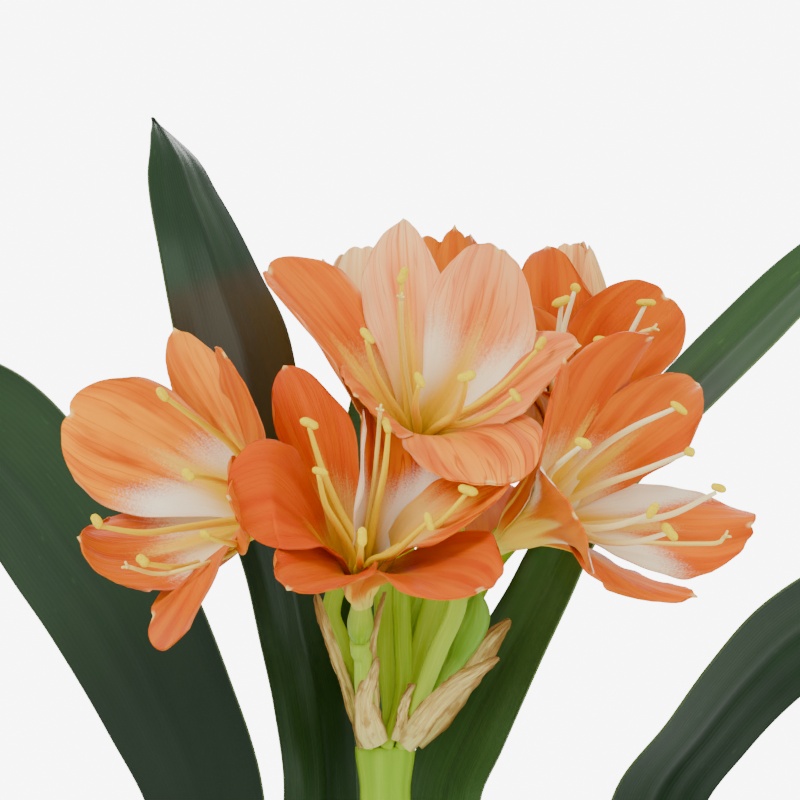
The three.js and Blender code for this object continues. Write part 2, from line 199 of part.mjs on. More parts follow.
    tepals: [
      ["o",[0.139,-0.99,0.038],[55.8,-18.7,2.8,15.7,24.9,-1,-2.2,-4.7,0,0,0,24,0.9,0.55,0.25,0,0,0,0,0,0]],
      ["i",[0.925,-0.373,0.067],[54.2,-21.3,0.6,16.4,32.3,1.9,2.1,12.1,3.8,0.9,8.9,28.6,1.04,0.47,0.04,0.01,-0.03,0.07,-0.02,-0.02,-0.05]],
      ["o",[0.787,0.617,0.029],[54.4,-18.7,5.7,14.8,27.9,-0.2,3,-6,14.8,7,-7.2,23.3,0.72,0.5,0.07,0.06,-0.03,0,0.05,-0.01,0.01]],
      ["i",[-0.139,0.99,-0.038],[56.5,-19.6,7,11.2,19.2,-1.6,2.7,-3.1,10.1,-0.7,3.4,28.3,0.95,0.56,0.19,-0.01,-0.01,0.01,-0.03,0.01,-0.05]],
      ["o",[-0.925,0.373,-0.067],[54.1,-21,-4.6,17.8,38.2,2.2,0.8,-3.3,-3.2,3.2,-0.2,24.3,1.01,0.46,0.15,-0.02,-0.01,-0.07,0.07,0.03,0.05]],
      ["i",[-0.787,-0.617,-0.029],[53.9,-20.3,0.6,3.3,43.4,2.9,2.3,1.8,-0.4,-6.1,-1.1,27.6,0.91,0.62,0.26,-0.07,0,-0.08,0,0.03,-0.06]],
    ],
    stamens: [],
    style: null },
  { name: 'flower_back', throat: [18.5,53,473], axis: [0.2,0.781,0.591], neck: [15.5,41.3,464.1], base: [13.1,31.9,457], stem: 1.6,
    pedicel: [[1.6,6.2,400.5],[3.9,17,415.1],[6.5,28,428.6],[11.1,34,442.7],[12.3,28.8,454.7],[13,31.5,456.7]],
    tepals: [
      ["o",[-0.079,-0.589,0.805],[55.1,5,28.9,45.4,64.9,-2.3,-5.2,-3,-7.8,12.5,-14.4,21.9,0.97,0.51,0.08,-0.06,-0.04,-0.05,0.01,0.06,-0.02]],
      ["i",[0.806,-0.474,0.353],[55.9,14.3,35.5,52.4,64.9,-7.1,1.7,5,-1.1,-0.9,6.5,33,0.93,0.29,0.23,0.04,0.04,0.04,0.04,0.01,-0.03]],
      ["o",[0.885,0.114,-0.451],[59.5,18.4,36,54.8,63.3,0.9,-7.2,0.9,-3.1,1.4,5.8,24.5,0.86,0.67,0.29,-0.01,0.06,-0.04,0.02,-0.05,0.05]],
      ["i",[0.079,0.589,-0.805],[57.5,15.3,47,64.6,82.5,3,-0.7,2.4,4.1,13.8,1.9,32.4,0.76,0.41,0.21,0.01,0.04,0.03,-0.04,-0.06,-0.01]],
      ["o",[-0.806,0.474,-0.353],[54.3,15,33.9,41.5,56.9,2,-2.9,6.8,0.1,-8.6,2.7,24.3,1.08,0.54,0.42,-0.01,-0.11,-0.03,-0.02,0.05,0.03]],
      ["i",[-0.885,-0.114,0.451],[53,9.3,38.7,42.4,51.6,4,-0.5,0.1,3,0.4,-5.6,32.4,0.84,0.65,0.05,-0.03,0.01,0.06,0.03,-0.01,0.06]],
    ],
    stamens: [
      [[[19,50.6,473.4],[22,58.3,481.5],[25.7,64.7,490.6],[30,69.7,500.6],[34.7,73.5,511.4]],[[37.1,74.7,510.9],[33,72.7,513.4]]],
      [[[17.6,53,470.7],[19.2,63.5,476.1],[20.3,74.8,480],[20.6,86.8,482.4],[20.4,99.5,483.3]],[[22.2,100.2,485.2],[18.6,100.4,481.5]]],
      [[[17.1,51,473.5],[18.2,59.3,482.1],[18.2,66.5,491.9],[17.1,72.5,502.8],[14.9,77.4,514.6]],[[12.8,76.1,515.7],[16.7,79.4,515]]],
      [[[19.4,52.5,470.8],[22.8,62,476],[27.1,71.8,479.9],[32.4,81.9,482.6],[38.4,92.2,484]],[[41,91.7,483.6],[36.6,94.2,484.5]]],
      [[[20.1,51.3,472.1],[24.3,59.3,478.6],[30.1,66.6,484.8],[37.5,73.1,490.9],[46.4,78.8,496.6]],[[46.8,81.2,495.3],[47.2,77.2,498.6]]],
      [[[16.4,52.5,471.9],[16.9,62.3,478.6],[15.9,72.5,485],[13.3,82.9,491.1],[9.1,93.5,496.7]],[[9.5,93.2,499.4],[8.2,95.1,494.7]]],
    ],
    style: [[17.9,50.7,471.2],[21.7,65.2,482.1],[25.6,80,492.6],[29.1,92.8,501.4]] },
];

// Leaves and bracts: [centre, direction across, half width] at stations from the root to the tip.
const LEAVES = [
  ['leaf_tall', [
    [[-20,2,150.3],[0.148,-0.988,0.048],12.5],
    [[-21,5,215],[0.447,-0.893,0.048],12],
    [[-21,9,290],[0.8,-0.599,0.022],11.5],
    [[-19,14,384.1],[0.838,0.546,-0.029],11.5],
    [[-21.3,16,412.3],[0.838,0.542,0.071],12.5],
    [[-25.1,17,432.1],[0.737,0.667,0.11],14.5],
    [[-29.1,18,451.9],[0.714,0.69,0.121],16.5],
    [[-32.8,18,471.8],[0.706,0.692,0.152],18.5],
    [[-37.3,17,494.6],[0.682,0.707,0.188],20.5],
    [[-42,16,513],[0.686,0.683,0.25],21],
    [[-47.7,15,528.6],[0.632,0.733,0.253],20],
    [[-52.8,15,542.8],[0.609,0.773,0.175],17.5],
    [[-58,17,555.6],[0.621,0.779,0.089],14],
    [[-62.4,20,566.3],[0.613,0.79,0.021],9],
    [[-67.8,24,577.9],[0.461,0.883,-0.091],1.5],
  ]],
  ['leaf_wide_left', [
    [[-28,0,150.3],[0,-1,0],13],
    [[-31,0,220],[0.367,-0.93,0.035],12.5],
    [[-40,1,305],[0.798,-0.592,0.108],14],
    [[-51.1,3,385.1],[0.887,-0.418,0.197],17],
    [[-62.2,5,413.1],[0.844,-0.348,0.409],19.5],
    [[-76.1,8,441],[0.765,-0.395,0.508],21.5],
    [[-88.4,10,456.5],[0.663,-0.477,0.577],22.5],
    [[-100.9,11,472],[0.603,-0.52,0.605],22.5],
    [[-117.3,11,486.1],[0.487,-0.578,0.654],21.5],
    [[-136.7,8,496],[0.365,-0.681,0.635],19.5],
    [[-155.9,4,500.8],[0.241,-0.728,0.642],16],
    [[-173.6,0,500.8],[0.091,-0.774,0.626],11],
    [[-188.5,-3,496.8],[0.011,-0.814,0.581],2],
  ]],
  ['leaf_right_behind', [
    [[14,3,150.3],[0,-0.998,0.057],12.5],
    [[14.5,7,220],[-0.448,-0.893,0.049],12],
    [[14.5,11,300],[-0.8,-0.599,0.038],11.5],
    [[16.4,15,384],[-0.839,0.543,0.04],12.5],
    [[23.2,17,402.3],[-0.744,0.622,0.244],13.5],
    [[34.1,21,422.8],[-0.627,0.762,0.164],14.5],
    [[44.2,26,440.8],[-0.567,0.822,0.056],15.5],
    [[51.9,31,455.8],[-0.511,0.859,0.032],16.5],
    [[64.8,37,474.3],[-0.453,0.887,0.089],17.5],
    [[78,41,489.3],[-0.41,0.9,0.147],18],
    [[90.1,44,502],[-0.373,0.906,0.2],18.5],
    [[106,46,518.6],[-0.327,0.898,0.295],18.5],
    [[120.4,45,532.5],[-0.22,0.894,0.391],17.5],
    [[137.5,42,545.5],[-0.106,0.891,0.442],15.5],
    [[155.9,38,555.2],[-0.016,0.895,0.446],12.5],
    [[172.8,35,560.8],[0.076,0.912,0.404],8.5],
    [[186.7,32,562.9],[0.131,0.903,0.408],1.5],
  ]],
  ['leaf_low_right', [
    [[22,0,150.3],[-0.003,-1,-0.03],13],
    [[29,-2,215],[-0.329,-0.944,0.024],13],
    [[47,-5,300],[-0.716,-0.677,0.169],14.5],
    [[75.9,-9,386.2],[-0.613,-0.768,0.184],17],
    [[88.7,-13,405.2],[-0.601,-0.752,0.27],18.5],
    [[101.4,-17,420.7],[-0.569,-0.748,0.341],20],
    [[114.3,-20,432.7],[-0.479,-0.756,0.445],21],
    [[131.1,-23,442.5],[-0.373,-0.758,0.534],21],
    [[149.4,-26,448.6],[-0.232,-0.779,0.582],19.5],
    [[167.7,-28,450.4],[-0.077,-0.809,0.582],16.5],
    [[184.4,-30,447.7],[0.049,-0.849,0.526],11],
    [[196.5,-31,442.9],[0.088,-0.91,0.406],2],
  ]],
  ['leaf_dark_middle', [
    [[-12.5,4,150.3],[-0.003,-0.987,0.159],11],
    [[-14,16,225],[0.409,-0.898,0.161],10.5],
    [[-14.5,30,300],[0.803,-0.587,0.1],10],
    [[-15.2,41,381.6],[0.639,0.759,-0.121],9.5],
    [[-13.8,47,410.1],[0.629,0.752,-0.197],9.5],
    [[-10.4,52,439],[0.645,0.734,-0.212],10.5],
    [[-6.9,56,462.2],[0.723,0.655,-0.22],11],
    [[-4.3,60,482.7],[0.721,0.647,-0.248],11],
    [[-2,64,497.4],[0.719,0.605,-0.343],10],
    [[0.1,69,507.8],[0.651,0.619,-0.439],7],
    [[1.5,74,516.7],[0.524,0.704,-0.479],1.5],
  ]],
  ['leaf_outer_left', [
    [[-35.5,0,150.3],[-0.011,-0.999,0.043],14],
    [[-52,3,215],[0.276,-0.947,0.164],15],
    [[-88,8,285],[0.222,-0.946,0.238],18],
    [[-132,12,325],[0.058,-0.967,0.25],20],
    [[-178,15,333],[-0.076,-0.988,0.134],19.5],
    [[-220,17,312],[-0.075,-0.996,0.042],16],
    [[-250,18,275],[-0.006,-1,-0.01],10.5],
    [[-266,18,238],[0,-1,0],1.5],
  ]],
  ['leaf_outer_right', [
    [[30,-1,150.3],[-0.017,-0.998,-0.067],14],
    [[48,-6,220],[-0.244,-0.97,0.008],15],
    [[86,-14,290],[-0.267,-0.962,0.06],18],
    [[130,-22,328],[-0.222,-0.968,0.118],20],
    [[176,-29,336],[-0.111,-0.98,0.167],19],
    [[218,-34,316],[-0.022,-0.993,0.118],15],
    [[246,-37,282],[-0.027,-0.999,0.041],9.5],
    [[262,-38,248],[-0.011,-1,0.024],1.5],
  ]],
  ['leaf_rear_left', [
    [[-10,19,150.3],[-0.888,-0.457,-0.038],12],
    [[-23,38,225],[-0.896,-0.442,-0.038],13],
    [[-42,72,290],[-0.875,-0.484,-0.018],16],
    [[-66,112,325],[-0.843,-0.533,0.071],18],
    [[-88,150,330],[-0.88,-0.462,0.115],17],
    [[-106,184,308],[-0.894,-0.447,0],13.5],
    [[-117,208,274],[-0.9,-0.436,-0.02],8.5],
    [[-122,220,244],[-0.899,-0.437,-0.025],1.5],
  ]],
  ['leaf_rear_right', [
    [[11,20,150.3],[-0.889,0.457,0.035],12],
    [[24,40,220],[-0.918,0.385,0.093],13],
    [[46,72,280],[-0.882,0.43,0.19],16],
    [[76,106,312],[-0.764,0.605,0.224],17.5],
    [[106,136,312],[-0.687,0.726,0.029],16.5],
    [[132,160,288],[-0.744,0.659,-0.11],13],
    [[150,176,254],[-0.756,0.651,-0.065],8],
    [[158,184,226],[-0.771,0.636,-0.038],1.5],
  ]],
  ['leaf_young_front', [
    [[7,-15,150.3],[-0.957,-0.289,0.007],11],
    [[12,-30,215],[-0.969,-0.237,0.066],12],
    [[25,-55,270],[-0.943,-0.297,0.148],14.5],
    [[42,-84,298],[-0.876,-0.442,0.195],15.5],
    [[60,-112,298],[-0.831,-0.555,0.038],14],
    [[75,-135,275],[-0.87,-0.489,-0.056],9.5],
    [[84,-149,248],[-0.88,-0.473,-0.048],1.5],
  ]],
];
const BRACTS = [
  ['bract_front', [
    [[-2.5,-9.5,401.3],[0.96,0,0.28],3.8],
    [[-3.6,-11.5,405.1],[0.964,0,0.266],4.6],
    [[-4.9,-14,410.2],[0.96,0.156,0.233],3.6],
    [[-5.2,-16.5,415.1],[0.949,0.306,0.071],3.1],
    [[-4.1,-19,420.2],[0.912,0.396,-0.109],2.2],
    [[-1.9,-21,426.7],[0.865,0.48,-0.148],0.6],
  ]],
  ['bract_left', [
    [[-5.6,-3,401.3],[0.357,0.791,0.496],3],
    [[-7.8,-6,407.7],[0.287,0.841,0.459],4],
    [[-10.5,-9,415.4],[0.251,0.881,0.402],4.3],
    [[-14.1,-12,424.8],[0.246,0.913,0.326],4],
    [[-17.4,-14,434.6],[0.289,0.929,0.23],3.2],
    [[-19.6,-15,443.8],[0.389,0.901,0.191],1.2],
  ]],
  ['bract_right', [
    [[4.8,-9,401.8],[0.579,-0.306,-0.756],3.2],
    [[8.9,-12,406.2],[0.57,-0.377,-0.73],4.6],
    [[13.6,-16,412.3],[0.523,-0.451,-0.723],4.6],
    [[19.6,-20,418.9],[0.372,-0.526,-0.765],3.6],
    [[25.6,-23,423],[0.291,-0.54,-0.79],2.6],
    [[31.3,-25,426.7],[0.351,-0.48,-0.804],0.9],
  ]],
  ['bract_back_right', [
    [[8.1,6,401.2],[0.783,-0.231,-0.577],2.8],
    [[14.9,11,408.4],[0.793,-0.244,-0.558],3.8],
    [[22.9,14,418.6],[0.793,-0.337,-0.507],3.6],
    [[29.1,15,427.9],[0.722,-0.423,-0.548],2.8],
    [[35.4,14,435.1],[0.619,-0.497,-0.608],0.9],
  ]],
  ['bract_back', [
    [[-0.8,-4.5,402],[0.698,0.573,0.429],2],
    [[-2.5,-9,410.7],[0.529,0.77,0.356],2.4],
    [[-3.3,-11,419.7],[0.462,0.871,0.167],2.4],
    [[-3.3,-12,428.6],[0.41,0.912,0.02],2.1],
    [[-1.9,-12,437],[0.354,0.925,-0.136],1.6],
    [[0,-11,444.1],[0.376,0.898,-0.227],0.6],
  ]],
  ['bract_small', [
    [[3.4,-8.5,402.6],[0.979,0,-0.203],1.6],
    [[4.5,-9.5,407.9],[0.979,0,-0.203],1.5],
    [[5.6,-11,413.3],[0.955,0,-0.296],1.3],
    [[7.8,-12,418.7],[0.923,0,-0.384],0.7],
  ]],
];
// Unopened bud on its own pedicel: [point, radius].
const BUD = [[[3.9,-1,402],2],[[9.8,-4,410.3],2],[[15.6,-4,418.7],2.1],[[19.6,-1,424.1],2.6],[[22.6,-2,430.3],4.2],[[25.1,-3,436.5],4.4],[[25.7,-4,440.8],2.8],[[25.7,-4.5,443.8],0.6]];

const COLOUR = { perianth: 0xf2661a, stamens: 0xffd91a, pistil: 0xc9d56a, pedicel: 0xa9c552, leaf: 0x1f3d24,
  bract: 0xcdb084, scape: 0xa6c44a, pot: 0xb4603c, soil: 0x3a2a20, bud: 0x9cbf4e };

// ---------- solids ----------
const wasm = await Module();
wasm.setup();
const V = (a) => new THREE.Vector3(a[0], a[1], a[2]);

function solidOf(geometry) {
  const g = geometry.clone();
  g.deleteAttribute('normal'); g.deleteAttribute('uv');
  const m = mergeVertices(g, 1e-4);
  const pos = m.attributes.position.array, idx = m.index.array, tri = [];
  let vol = 0;
  for (let i = 0; i < idx.length; i += 3) {
    const [a, b, c] = [idx[i], idx[i + 1], idx[i + 2]];
    if (a === b || b === c || a === c) continue;
    tri.push(a, b, c);
    const A = new THREE.Vector3().fromArray(pos, 3 * a), B = new THREE.Vector3().fromArray(pos, 3 * b), C = new THREE.Vector3().fromArray(pos, 3 * c);
    vol += A.dot(B.cross(C));
  }
  if (vol < 0) for (let i = 0; i < tri.length; i += 3) { const t = tri[i]; tri[i] = tri[i + 1]; tri[i + 1] = t; }
  return new wasm.Manifold(new wasm.Mesh({ numProp: 3, vertProperties: new Float32Array(pos), triVerts: new Uint32Array(tri) }));
}

function movePoints(geometry, f) {
  const p = geometry.attributes.position;
  for (let i = 0; i < p.count; i++) { const q = f(p.getX(i), p.getY(i), p.getZ(i)); p.setXYZ(i, q.x, q.y, q.z); }
  return geometry;
}

const choose = (n, k) => { let r = 1; for (let i = 0; i < k; i++) r = r * (n - i) / (i + 1); return r; };
function bern(c, u) { const n = c.length - 1; let r = 0; for (let k = 0; k <= n; k++) r += choose(n, k) * c[k] * (1 - u) ** (n - k) * u ** k; return r; }
function herm(xs, ys, u) {
  const n = xs.length, m = ys.map((_, i) => i === 0 ? (ys[1] - ys[0]) / (xs[1] - xs[0]) : i === n - 1 ? (ys[n - 1] - ys[n - 2]) / (xs[n - 1] - xs[n - 2]) : (ys[i + 1] - ys[i - 1]) / (xs[i + 1] - xs[i - 1]));
  let i = 0; while (i < n - 2 && u >= xs[i + 1]) i++;
  const h = xs[i + 1] - xs[i], t = (u - xs[i]) / h;
  return (2 * t ** 3 - 3 * t ** 2 + 1) * ys[i] + (t ** 3 - 2 * t ** 2 + t) * h * m[i] + (-2 * t ** 3 + 3 * t ** 2) * ys[i + 1] + (t ** 3 - t ** 2) * h * m[i + 1];
}

// A tube with its radius given along a smooth curve through the points.
function tube(points, radius, sides, steps) {
  const curve = new THREE.CatmullRomCurve3(points, false, 'centripetal');
  const frames = curve.computeFrenetFrames(steps, false);
  const at = []; for (let i = 0; i <= steps; i++) at.push(curve.getPointAt(i / steps));
  return solidOf(movePoints(new THREE.CylinderGeometry(1, 1, 1, sides, steps), (x, y, z) => {
    const i = Math.round((y + 0.5) * steps), r = radius(i / steps);
    return at[i].clone().addScaledVector(frames.normals[i], x * r).addScaledVector(frames.binormals[i], z * r);
  }));
}

// A turned piece: profile of [radius, distance along a -> b].
function turned(profile, a, b, sides) {
  const g = new THREE.LatheGeometry(profile.map((p) => new THREE.Vector2(p[0], p[1])), sides);
  const q = new THREE.Quaternion().setFromUnitVectors(new THREE.Vector3(0, 1, 0), b.clone().sub(a).normalize());
  return solidOf(g.applyQuaternion(q).translate(a.x, a.y, a.z));
}

// One tepal: a thin blade bent along its length and cupped across it.
function tepal(t, throat, axis, grow) {
  const [kind, dir, x] = t, K = TEPAL_KIND[kind], D = Math.PI / 180, NS = 41;
  const e = V(dir).normalize(), s = axis.clone().cross(e);
  const L = x[0], th = x.slice(1, 5), ps = x.slice(5, 8), ro = [0, ...x.slice(8, 11)], W = x[11], ka = x.slice(12, 15), dL = [0, ...x.slice(15, 18)], dR = [0, ...x.slice(18, 21)];
  const M = [], S = [], N = [], T = [];
  for (let i = 0; i < NS; i++) {
    const l = 1.06 * i / (NS - 1), a = bern(th, l) * D, p = bern(ps, l) * D, r = bern(ro, l) * D;
    const d = axis.clone().multiplyScalar(Math.cos(a)).addScaledVector(e, Math.sin(a)).multiplyScalar(Math.cos(p)).addScaledVector(s, Math.sin(p));
    T.push(d);
    M.push(i ? M[i - 1].clone().addScaledVector(T[i - 1].clone().add(d), 0.5 * 1.06 / (NS - 1) * L) : throat.clone().addScaledVector(e, K.root));
    const S0 = s.clone().addScaledVector(d, -d.dot(s)).normalize(), N0 = d.clone().cross(S0);
    S.push(S0.clone().multiplyScalar(Math.cos(r)).addScaledVector(N0, Math.sin(r)));
    N.push(N0.clone().multiplyScalar(Math.cos(r)).addScaledVector(S0, -Math.sin(r)));
  }
  const mix = (Q, l) => { const f = Math.min(l / 1.06 * (NS - 1), NS - 1.001), i = Math.floor(f); return Q[i].clone().lerp(Q[i + 1], f - i); };
  const uEnd = 1 + grow / L, half = TEPAL_THICK / 2 + grow;
  return solidOf(movePoints(new THREE.BoxGeometry(1, 1, 1, TEPAL_ROWS, TEPAL_COLUMNS, 1), (bx, by, bz) => {
    const row = bx + 0.5, u = (row + 0.10 * Math.sin(Math.PI * row)) * uEnd, v = 2 * by, l = u * (1 - K.tau[0] * Math.abs(v) ** K.tau[1]);
    const hw = W / 2 * herm(PROF_AT, K.prof, Math.min(u, 1)) * (1 + bern(v < 0 ? dL : dR, Math.min(u, 1))) + grow;
    let k = bern(ka, l); if (Math.abs(k) < 1e-3) k = 1e-3;
    const Sv = mix(S, l), Nv = mix(N, l), w = 2 * bz * half;
    return mix(M, l).addScaledVector(Sv, hw * Math.sin(k * v) / k - w * Math.sin(k * v)).addScaledVector(Nv, hw * (1 - Math.cos(k * v)) / k + w * Math.cos(k * v));
  }));
}

// A leaf or bract: stations of [centre, direction across, half width].
function blade(rows, thick, columns, hollow, grow) {
  const n = rows.length, P = rows.map((r) => V(r[0]));
  return solidOf(movePoints(new THREE.BoxGeometry(1, 1, 1, n - 1, columns, 1), (bx, by, bz) => {
    const i = Math.round((bx + 0.5) * (n - 1));
    const T = P[Math.min(i + 1, n - 1)].clone().sub(P[Math.max(i - 1, 0)]).normalize(), S = V(rows[i][1]).normalize();
    const N = T.clone().cross(S).normalize(), v = 2 * by, w = bz * (thick * (1 - 0.45 * i / (n - 1)) + 2 * grow);
    return P[i].clone().addScaledVector(S, v * (rows[i][2] + grow)).addScaledVector(N, w + hollow * rows[i][2] * (v * v - 0.5))
      .addScaledVector(T, i === n - 1 ? grow : i === 0 ? -grow : 0);
  }));
}

const largest = (m) => { const parts = m.simplify(FINENESS).decompose(); parts.sort((a, b) => b.volume() - a.volume()); return parts[0]; };

// ---------- the pieces, in the order in which they make room for one another ----------
const plant = new THREE.Group();
plant.name = 'clivia_in_pot';
const done = [];
function put(name, make, colour, group = plant, roughness = 0.6) {
  let solid = make(0);
  for (const d of done) {
    const a = solid.boundingBox(), b = d.box;
    if (a.min.some((v, k) => v > b.max[k] + 0.1) || a.max.some((v, k) => v < b.min[k] - 0.1)) continue;
    if (solid.intersect(d.grown).volume() > 1e-5) solid = solid.subtract(d.grown);
  }
  solid = largest(solid);
  const grown = make(GAP);
  done.push({ name, solid, grown, box: grown.boundingBox() });
  const raw = solid.getMesh(), at = group.position, n = raw.numProp, pos = new Float32Array(raw.vertProperties.length / n * 3);
  for (let i = 0; i < pos.length / 3; i++) for (let k = 0; k < 3; k++) pos[3 * i + k] = raw.vertProperties[n * i + k] - at.getComponent(k);
  const g = new THREE.BufferGeometry();
  g.setAttribute('position', new THREE.BufferAttribute(pos, 3));
  g.setIndex(new THREE.BufferAttribute(new Uint32Array(raw.triVerts), 1));
  g.computeVertexNormals();
  const mesh = new THREE.Mesh(g, new THREE.MeshStandardMaterial({ color: colour, roughness, metalness: 0 }));
  mesh.name = name;
  group.add(mesh);
}

const UP = [new THREE.Vector3(0, 0, 0), new THREE.Vector3(0, 0, 1)];
put('pot', (g) => {
  let m = turned(POT_PROFILE, ...UP, POT_SIDES);
  for (let i = 0; i < DRAIN.count; i++) {
    const a = 2 * Math.PI * (i + 0.25) / DRAIN.count;
    m = m.subtract(solidOf(new THREE.CylinderGeometry(DRAIN.radius, DRAIN.radius, 20, 10).rotateX(Math.PI / 2).translate(DRAIN.at * Math.cos(a), DRAIN.at * Math.sin(a), 3)));
  }
  return m;
}, COLOUR.pot, plant, 0.85);
put('soil', (g) => turned(SOIL_PROFILE, ...UP, POT_SIDES), COLOUR.soil, plant, 0.95);

put('scape', (g) => solidOf(movePoints(new THREE.CylinderGeometry(1, 1, 1, 12, 4), (x, y, z) => {
  const h = [0, 0.5, 0.95, 0.985, 1][Math.round((y + 0.5) * 4)], flare = [1.06, 1, 1, 1.06, 1.2][Math.round((y + 0.5) * 4)];
  const z0 = SOIL_TOP + 0.3;
  return new THREE.Vector3(x * (SCAPE_HALF[0] * flare + g), -z * (SCAPE_HALF[1] * flare + g), z0 + (SCAPE_TOP - z0 + g) * h - (h === 0 ? g * 0.5 : 0));
})), COLOUR.scape, plant, 0.5);

for (const [name, rows] of LEAVES) put(name, (g) => blade(rows, LEAF_THICK, 2, 0.10, g), COLOUR.leaf, plant, 0.45);

const groups = new Map();
for (const f of FLOWERS) {
  const group = new THREE.Group();
  group.name = f.name;
  group.position.fromArray(f.throat);
  plant.add(group);
  groups.set(f.name, group);
  put(f.name + '_pedicel', (g) => tube(f.pedicel.map(V), (t) => f.stem + (PEDICEL.top - f.stem) * Math.min(1, t * 2.2) + g, 6, 6), COLOUR.pedicel, group, 0.5);
}
put('bud_green', (g) => { const last = BUD.length - 1;
  return tube(BUD.map((b) => V(b[0])), (t) => { const f = Math.min(t * last, last - 1e-6), i = Math.floor(f); return BUD[i][1] + (BUD[i + 1][1] - BUD[i][1]) * (f - i) + g; }, 6, 2 * last); }, COLOUR.bud, plant, 0.5);

const onAxis = (a, b, t) => a.clone().lerp(b, t);
function ovary(f, g) {
  const a = V(f.base), b = V(f.neck), h = a.distanceTo(b) - 0.35, z0 = 0.35;
  return turned([[0, z0 - g], [1.9 + g, z0 - g], [3.1 + g, z0 + 0.16 * h], [OVARY_R + g, z0 + 0.45 * h], [3.2 + g, z0 + 0.78 * h], [2.3 + g, h + g], [0, h + g]], a, b, 7);
}
for (const f of FLOWERS) if (f.style) {
  put(f.name + '_pistil', (g) => {
    const s = f.style.map(V), top = s[s.length - 1];
    const stem = [onAxis(V(f.base), V(f.neck), 0.7), ...s];
    return ovary(f, g).add(tube(stem, () => STYLE_R + g, 3, 4)).add(solidOf(new THREE.OctahedronGeometry(1.5 + g, 0).translate(top.x, top.y, top.z)));
  }, COLOUR.pistil, groups.get(f.name));
}
for (const f of FLOWERS) if (f.stamens.length) {
  put(f.name + '_stamens', (g) => {
    const A = V(f.axis), O = V(f.throat), c = O.clone().addScaledVector(A, -2);
    let m = turned([[RING.inner - g, -g], [RING.outer + g, -g], [RING.outer + g, RING.height + g], [RING.inner - g, RING.height + g], [RING.inner - g, -g]], c, O, 6);
    for (const [path, ends] of f.stamens) {
      m = m.add(tube(path.map(V), () => FILAMENT_R + g, 3, 4));
      const a = V(ends[0]), b = V(ends[1]), mid = a.clone().lerp(b, 0.5), q = new THREE.Quaternion().setFromUnitVectors(new THREE.Vector3(1, 0, 0), b.clone().sub(a).normalize());
      m = m.add(solidOf(new THREE.OctahedronGeometry(1, 0).scale(ANTHER[0] + g, ANTHER[1] + 0.5 + g, ANTHER[2] + 0.5 + g).applyQuaternion(q).translate(mid.x, mid.y, mid.z)));
    }
    return m.simplify(FINENESS);
  }, COLOUR.stamens, groups.get(f.name));
}
for (const f of FLOWERS) {
  put(f.name + '_perianth', (g) => {
    const A = V(f.axis), O = V(f.throat), neck = V(f.neck), h = neck.distanceTo(O), top = O.clone();
    if (!f.style) {   // not open yet: ovary, tube and closed tepals in one
      const tip = O.clone().addScaledVector(A, 10), prof = CLOSED.map(([r, z]) => [r ? r + g : 0, z + (z < 0.3 ? -g : z > 90 ? g : 0)]);
      return turned([...prof], V(f.base), tip, 10);
    }
    if (f.cup) {      // half open: one funnel with six lobes
      const d = V(f.tepals[0][1]), side = A.clone().cross(d), rows = [[TUBE.neckBore, 0], [TUBE.neck, 0], [TUBE.neck + 0.6, 9], [6.8, 16], ...f.cup.map((c) => [c[0] + 0.8, c[1]]), ...f.cup.map((c) => [c[0] - 0.8, c[1]]).reverse(), [3.4, 13.5], [TUBE.neckBore, 8], [TUBE.neckBore, 0]];
      const n = rows.length - 1, q = new THREE.Matrix4().makeBasis(d, A, side.clone().negate());
      const lathe = movePoints(new THREE.LatheGeometry(rows.map((r, i) => new THREE.Vector2(r[0] + (i > 0 && i < 4 + f.cup.length ? g : -g), r[1] + (i < 2 || i === n ? -g : 0))), 12), (x, y, z) => {
        const phi = Math.atan2(z, x), lobe = Math.max(0, (y - 40) / 22), out = (1 + 0.05 * lobe * Math.cos(6 * phi));
        return new THREE.Vector3(x * out, y - 9 * lobe * (0.5 - 0.5 * Math.cos(6 * phi)) + (lobe > 0.9 ? g : 0), z * out);
      });
      return solidOf(lathe.applyMatrix4(q).translate(neck.x, neck.y, neck.z));
    }
    let m = turned([[TUBE.neckBore - g, -g], [TUBE.neck + g, -g], [TUBE.neck + 0.5 + g, h * 0.5], [TUBE.throat + g, h + TUBE.rim + g],
      [TUBE.throatBore - g, h + TUBE.rim + g], [TUBE.throatBore - g, h - 3.2], [TUBE.neckBore - g, h * 0.5], [TUBE.neckBore - g, -g]], neck, top, 9);
    for (const t of f.tepals) m = m.add(tepal(t, O, A, g));
    return m.simplify(FINENESS);
  }, COLOUR.perianth, groups.get(f.name));
}
for (const [name, rows] of BRACTS) put(name, (g) => blade(rows, BRACT_THICK, 1, 0, g), COLOUR.bract, plant, 0.8);

export default plant;
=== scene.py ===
# Clivia in a terracotta pot: the visible surfaces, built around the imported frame.
import bpy, bmesh, math
import numpy as np
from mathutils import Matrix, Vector


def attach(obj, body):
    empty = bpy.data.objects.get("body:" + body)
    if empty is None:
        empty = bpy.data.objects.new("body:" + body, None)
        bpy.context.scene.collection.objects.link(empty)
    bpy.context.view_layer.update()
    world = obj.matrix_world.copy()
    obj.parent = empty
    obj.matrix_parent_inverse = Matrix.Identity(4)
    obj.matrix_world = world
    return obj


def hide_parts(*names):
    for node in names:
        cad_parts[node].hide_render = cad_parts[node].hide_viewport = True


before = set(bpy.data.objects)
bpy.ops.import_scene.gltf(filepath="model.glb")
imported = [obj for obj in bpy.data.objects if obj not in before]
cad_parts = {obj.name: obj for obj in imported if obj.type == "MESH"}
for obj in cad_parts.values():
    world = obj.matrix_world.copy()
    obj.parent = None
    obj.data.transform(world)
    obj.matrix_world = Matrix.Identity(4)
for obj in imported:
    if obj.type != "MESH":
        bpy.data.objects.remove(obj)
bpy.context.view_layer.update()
MM = 0.001

